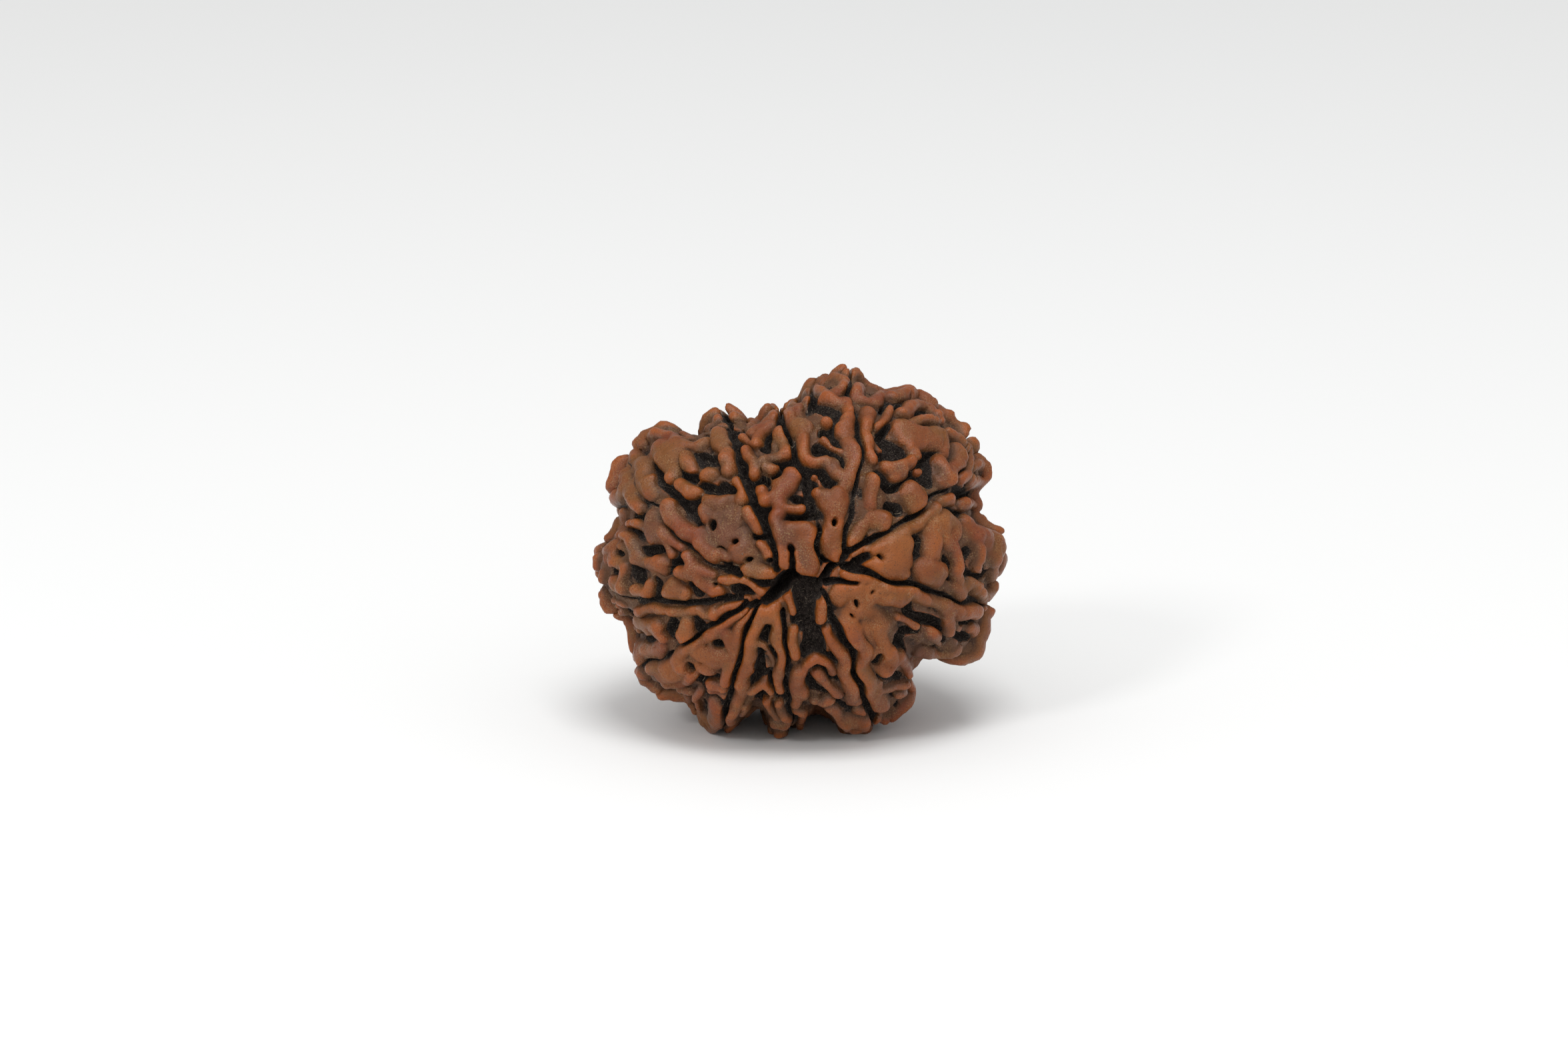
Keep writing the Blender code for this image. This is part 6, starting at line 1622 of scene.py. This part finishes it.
    def grains_mesh(self, rng: np.random.Generator) -> bpy.types.Object:
        """Makes small uneven grains of dust.

        Args:
            rng: the seeded source of chance.
        Returns:
            The object.
        """
        starts = self.resting_places(self.grains * 2 // 3, rng)
        starts = np.vstack([starts, unit(rng.normal(size=(self.grains // 3, 3)))])
        places, _ = self.growth.grow(starts)
        places = places[places[:, 2] > self.lowest]
        corners = np.array(((1, 0, 0), (-1, 0, 0), (0, 1, 0), (0, -1, 0), (0, 0, 1), (0, 0, -1)), float)
        sides = ((0, 2, 4), (2, 1, 4), (1, 3, 4), (3, 0, 4), (2, 0, 5), (1, 2, 5), (3, 1, 5), (0, 3, 5))
        vertices, faces, tones = [], [], []
        for place in places:
            size = (self.least_grain + self.more_grain * rng.uniform() ** 2) * MM
            base = len(vertices)
            vertices += list(place + corners * rng.uniform(*self.uneven, corners.shape) * size)
            faces += [tuple(base + corner for corner in side) for side in sides]
            tones += [rng.uniform(*self.grain_tones)] * len(corners)
        return self.finished("dust_grains", vertices, faces, tones)

    def finished(self, name: str, vertices: list, faces: list, tones: list) -> bpy.types.Object:
        """Makes an object of a mesh, dressed and riding on the seed.

        Args:
            name: the object's name.
            vertices: its vertices.
            faces: its faces.
            tones: the tone at each vertex.
        Returns:
            The object.
        """
        mesh = bpy.data.meshes.new(name)
        mesh.from_pydata([tuple(vertex) for vertex in vertices], [], faces)
        layer = mesh.attributes.new("tone", "FLOAT", "POINT")
        layer.data.foreach_set("value", np.array(tones, np.float32))
        thing = bpy.data.objects.new(name, mesh)
        bpy.context.scene.collection.objects.link(thing)
        mesh.materials.append(StrawFinish().make(name.replace("_", " ")))
        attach(thing, "root")
        LOG.info("%s: %d faces", name, len(mesh.polygons))
        return thing


@dataclass(frozen=True)
class Lamp:
    """One soft box, aimed at the seed."""

    name: str
    place: tuple[float, float, float]
    size: float
    power: float
    colour: str = "#FFFFFF"
    aim: tuple[float, float, float] = (0.0, 0.0, 11.0 * MM)

    def hang(self) -> None:
        """Hangs the lamp."""
        lamp = bpy.data.objects.new(self.name, bpy.data.lights.new(self.name, "AREA"))
        lamp.data.shape = "SQUARE"
        lamp.data.size = self.size
        lamp.data.energy = self.power
        lamp.data.color = linear(self.colour)[:3]
        lamp.location = self.place
        heading = Vector(self.aim) - lamp.location
        lamp.rotation_euler = heading.to_track_quat("-Z", "Y").to_euler()
        bpy.context.scene.collection.objects.link(lamp)


@dataclass
class Studio:
    """The table, the light tent and the camera."""

    core: Core
    lens: float = 150.0
    sensor: float = 36.0
    clip: Span = (0.02, 20.0)
    pixels_per_mm: float = 23.6
    image: tuple[int, int] = (2352, 1568)
    seed_middle: tuple[int, int] = (1200, 828)
    table_size: float = 6.0
    tent: str = "#FFFFFF"
    low_light: float = 0.78
    high_light: float = 0.86
    high_from: float = 0.6
    back_share: float = 0.6
    back_ends: Span = (-0.3, 0.6)
    lamps: tuple[Lamp, ...] = (
        Lamp("soft_box_above", (0.04, -0.14, 0.48), 0.22, 1.3),
        Lamp("soft_box_front", (-0.30, -0.36, 0.34), 0.10, 0.7),
    )

    def build(self) -> None:
        """Sets the table, the light and the camera."""
        self.table()
        for lamp in self.lamps:
            lamp.hang()
        self.light_tent()
        bpy.context.scene.view_settings.view_transform = "Standard"
        self.camera()

    def light_tent(self) -> None:
        """Lights the world like a white tent, brighter above and dimmer at the back."""
        world = bpy.data.worlds.new("light_tent")
        world.use_nodes = True
        tree = world.node_tree
        back = tree.nodes["Background"]
        back.inputs["Color"].default_value = linear(self.tent)
        heading = put(tree, "ShaderNodeTexCoord", {}).outputs["Generated"]
        parts = put(tree, "ShaderNodeSeparateXYZ", {0: heading})
        by_height = put(tree, "ShaderNodeMapRange", {
            "Value": parts.outputs["Z"], "From Min": 0.0, "From Max": self.high_from,
            "To Min": self.low_light, "To Max": self.high_light,
        })
        by_side = put(tree, "ShaderNodeMapRange", {
            "Value": parts.outputs["Y"], "From Min": self.back_ends[0], "From Max": self.back_ends[1],
            "To Min": 1.0, "To Max": self.back_share,
        })
        light = put(tree, "ShaderNodeMath", {
            "operation": "MULTIPLY", 0: by_height.outputs["Result"], 1: by_side.outputs["Result"],
        })
        tree.links.new(light.outputs[0], back.inputs["Strength"])
        bpy.context.scene.world = world

    def table(self) -> None:
        """Lays the pale table."""
        bpy.ops.object.select_all(action="DESELECT")
        bpy.ops.mesh.primitive_plane_add(size=self.table_size)
        table = bpy.context.active_object
        table.name = "table"
        table.data.materials.append(TableFinish().make())

    def camera(self) -> None:
        """Sets the camera at the photograph's angle and framing."""
        camera = bpy.data.objects.new("camera", bpy.data.cameras.new("camera"))
        bpy.context.scene.collection.objects.link(camera)
        camera.data.lens = self.lens
        camera.data.sensor_width = self.sensor
        camera.data.clip_start, camera.data.clip_end = self.clip
        right, up, toward = self.core.axes()
        aside = (self.image[0] / 2 - self.seed_middle[0]) / self.pixels_per_mm * MM
        above = (self.seed_middle[1] - self.image[1] / 2) / self.pixels_per_mm * MM
        target = np.array(self.core.middle) + right * aside + up * above
        distance = self.image[0] / self.pixels_per_mm * MM * self.lens / self.sensor
        camera.location = Vector(target + toward * distance)
        camera.rotation_euler = (math.pi / 2 - self.core.look_down, 0.0, 0.0)
        bpy.context.scene.camera = camera


def main() -> None:
    """Builds the seed and the studio in order."""
    logging.basicConfig(level=logging.INFO)
    core = Core()
    growth = Growth(core, FarSide(core))
    stone = Stone(growth, Detail.FULL)
    stone.dress(stone.build())
    Litter(growth).build()
    Studio(core).build()


if __name__ == "__main__":
    main()
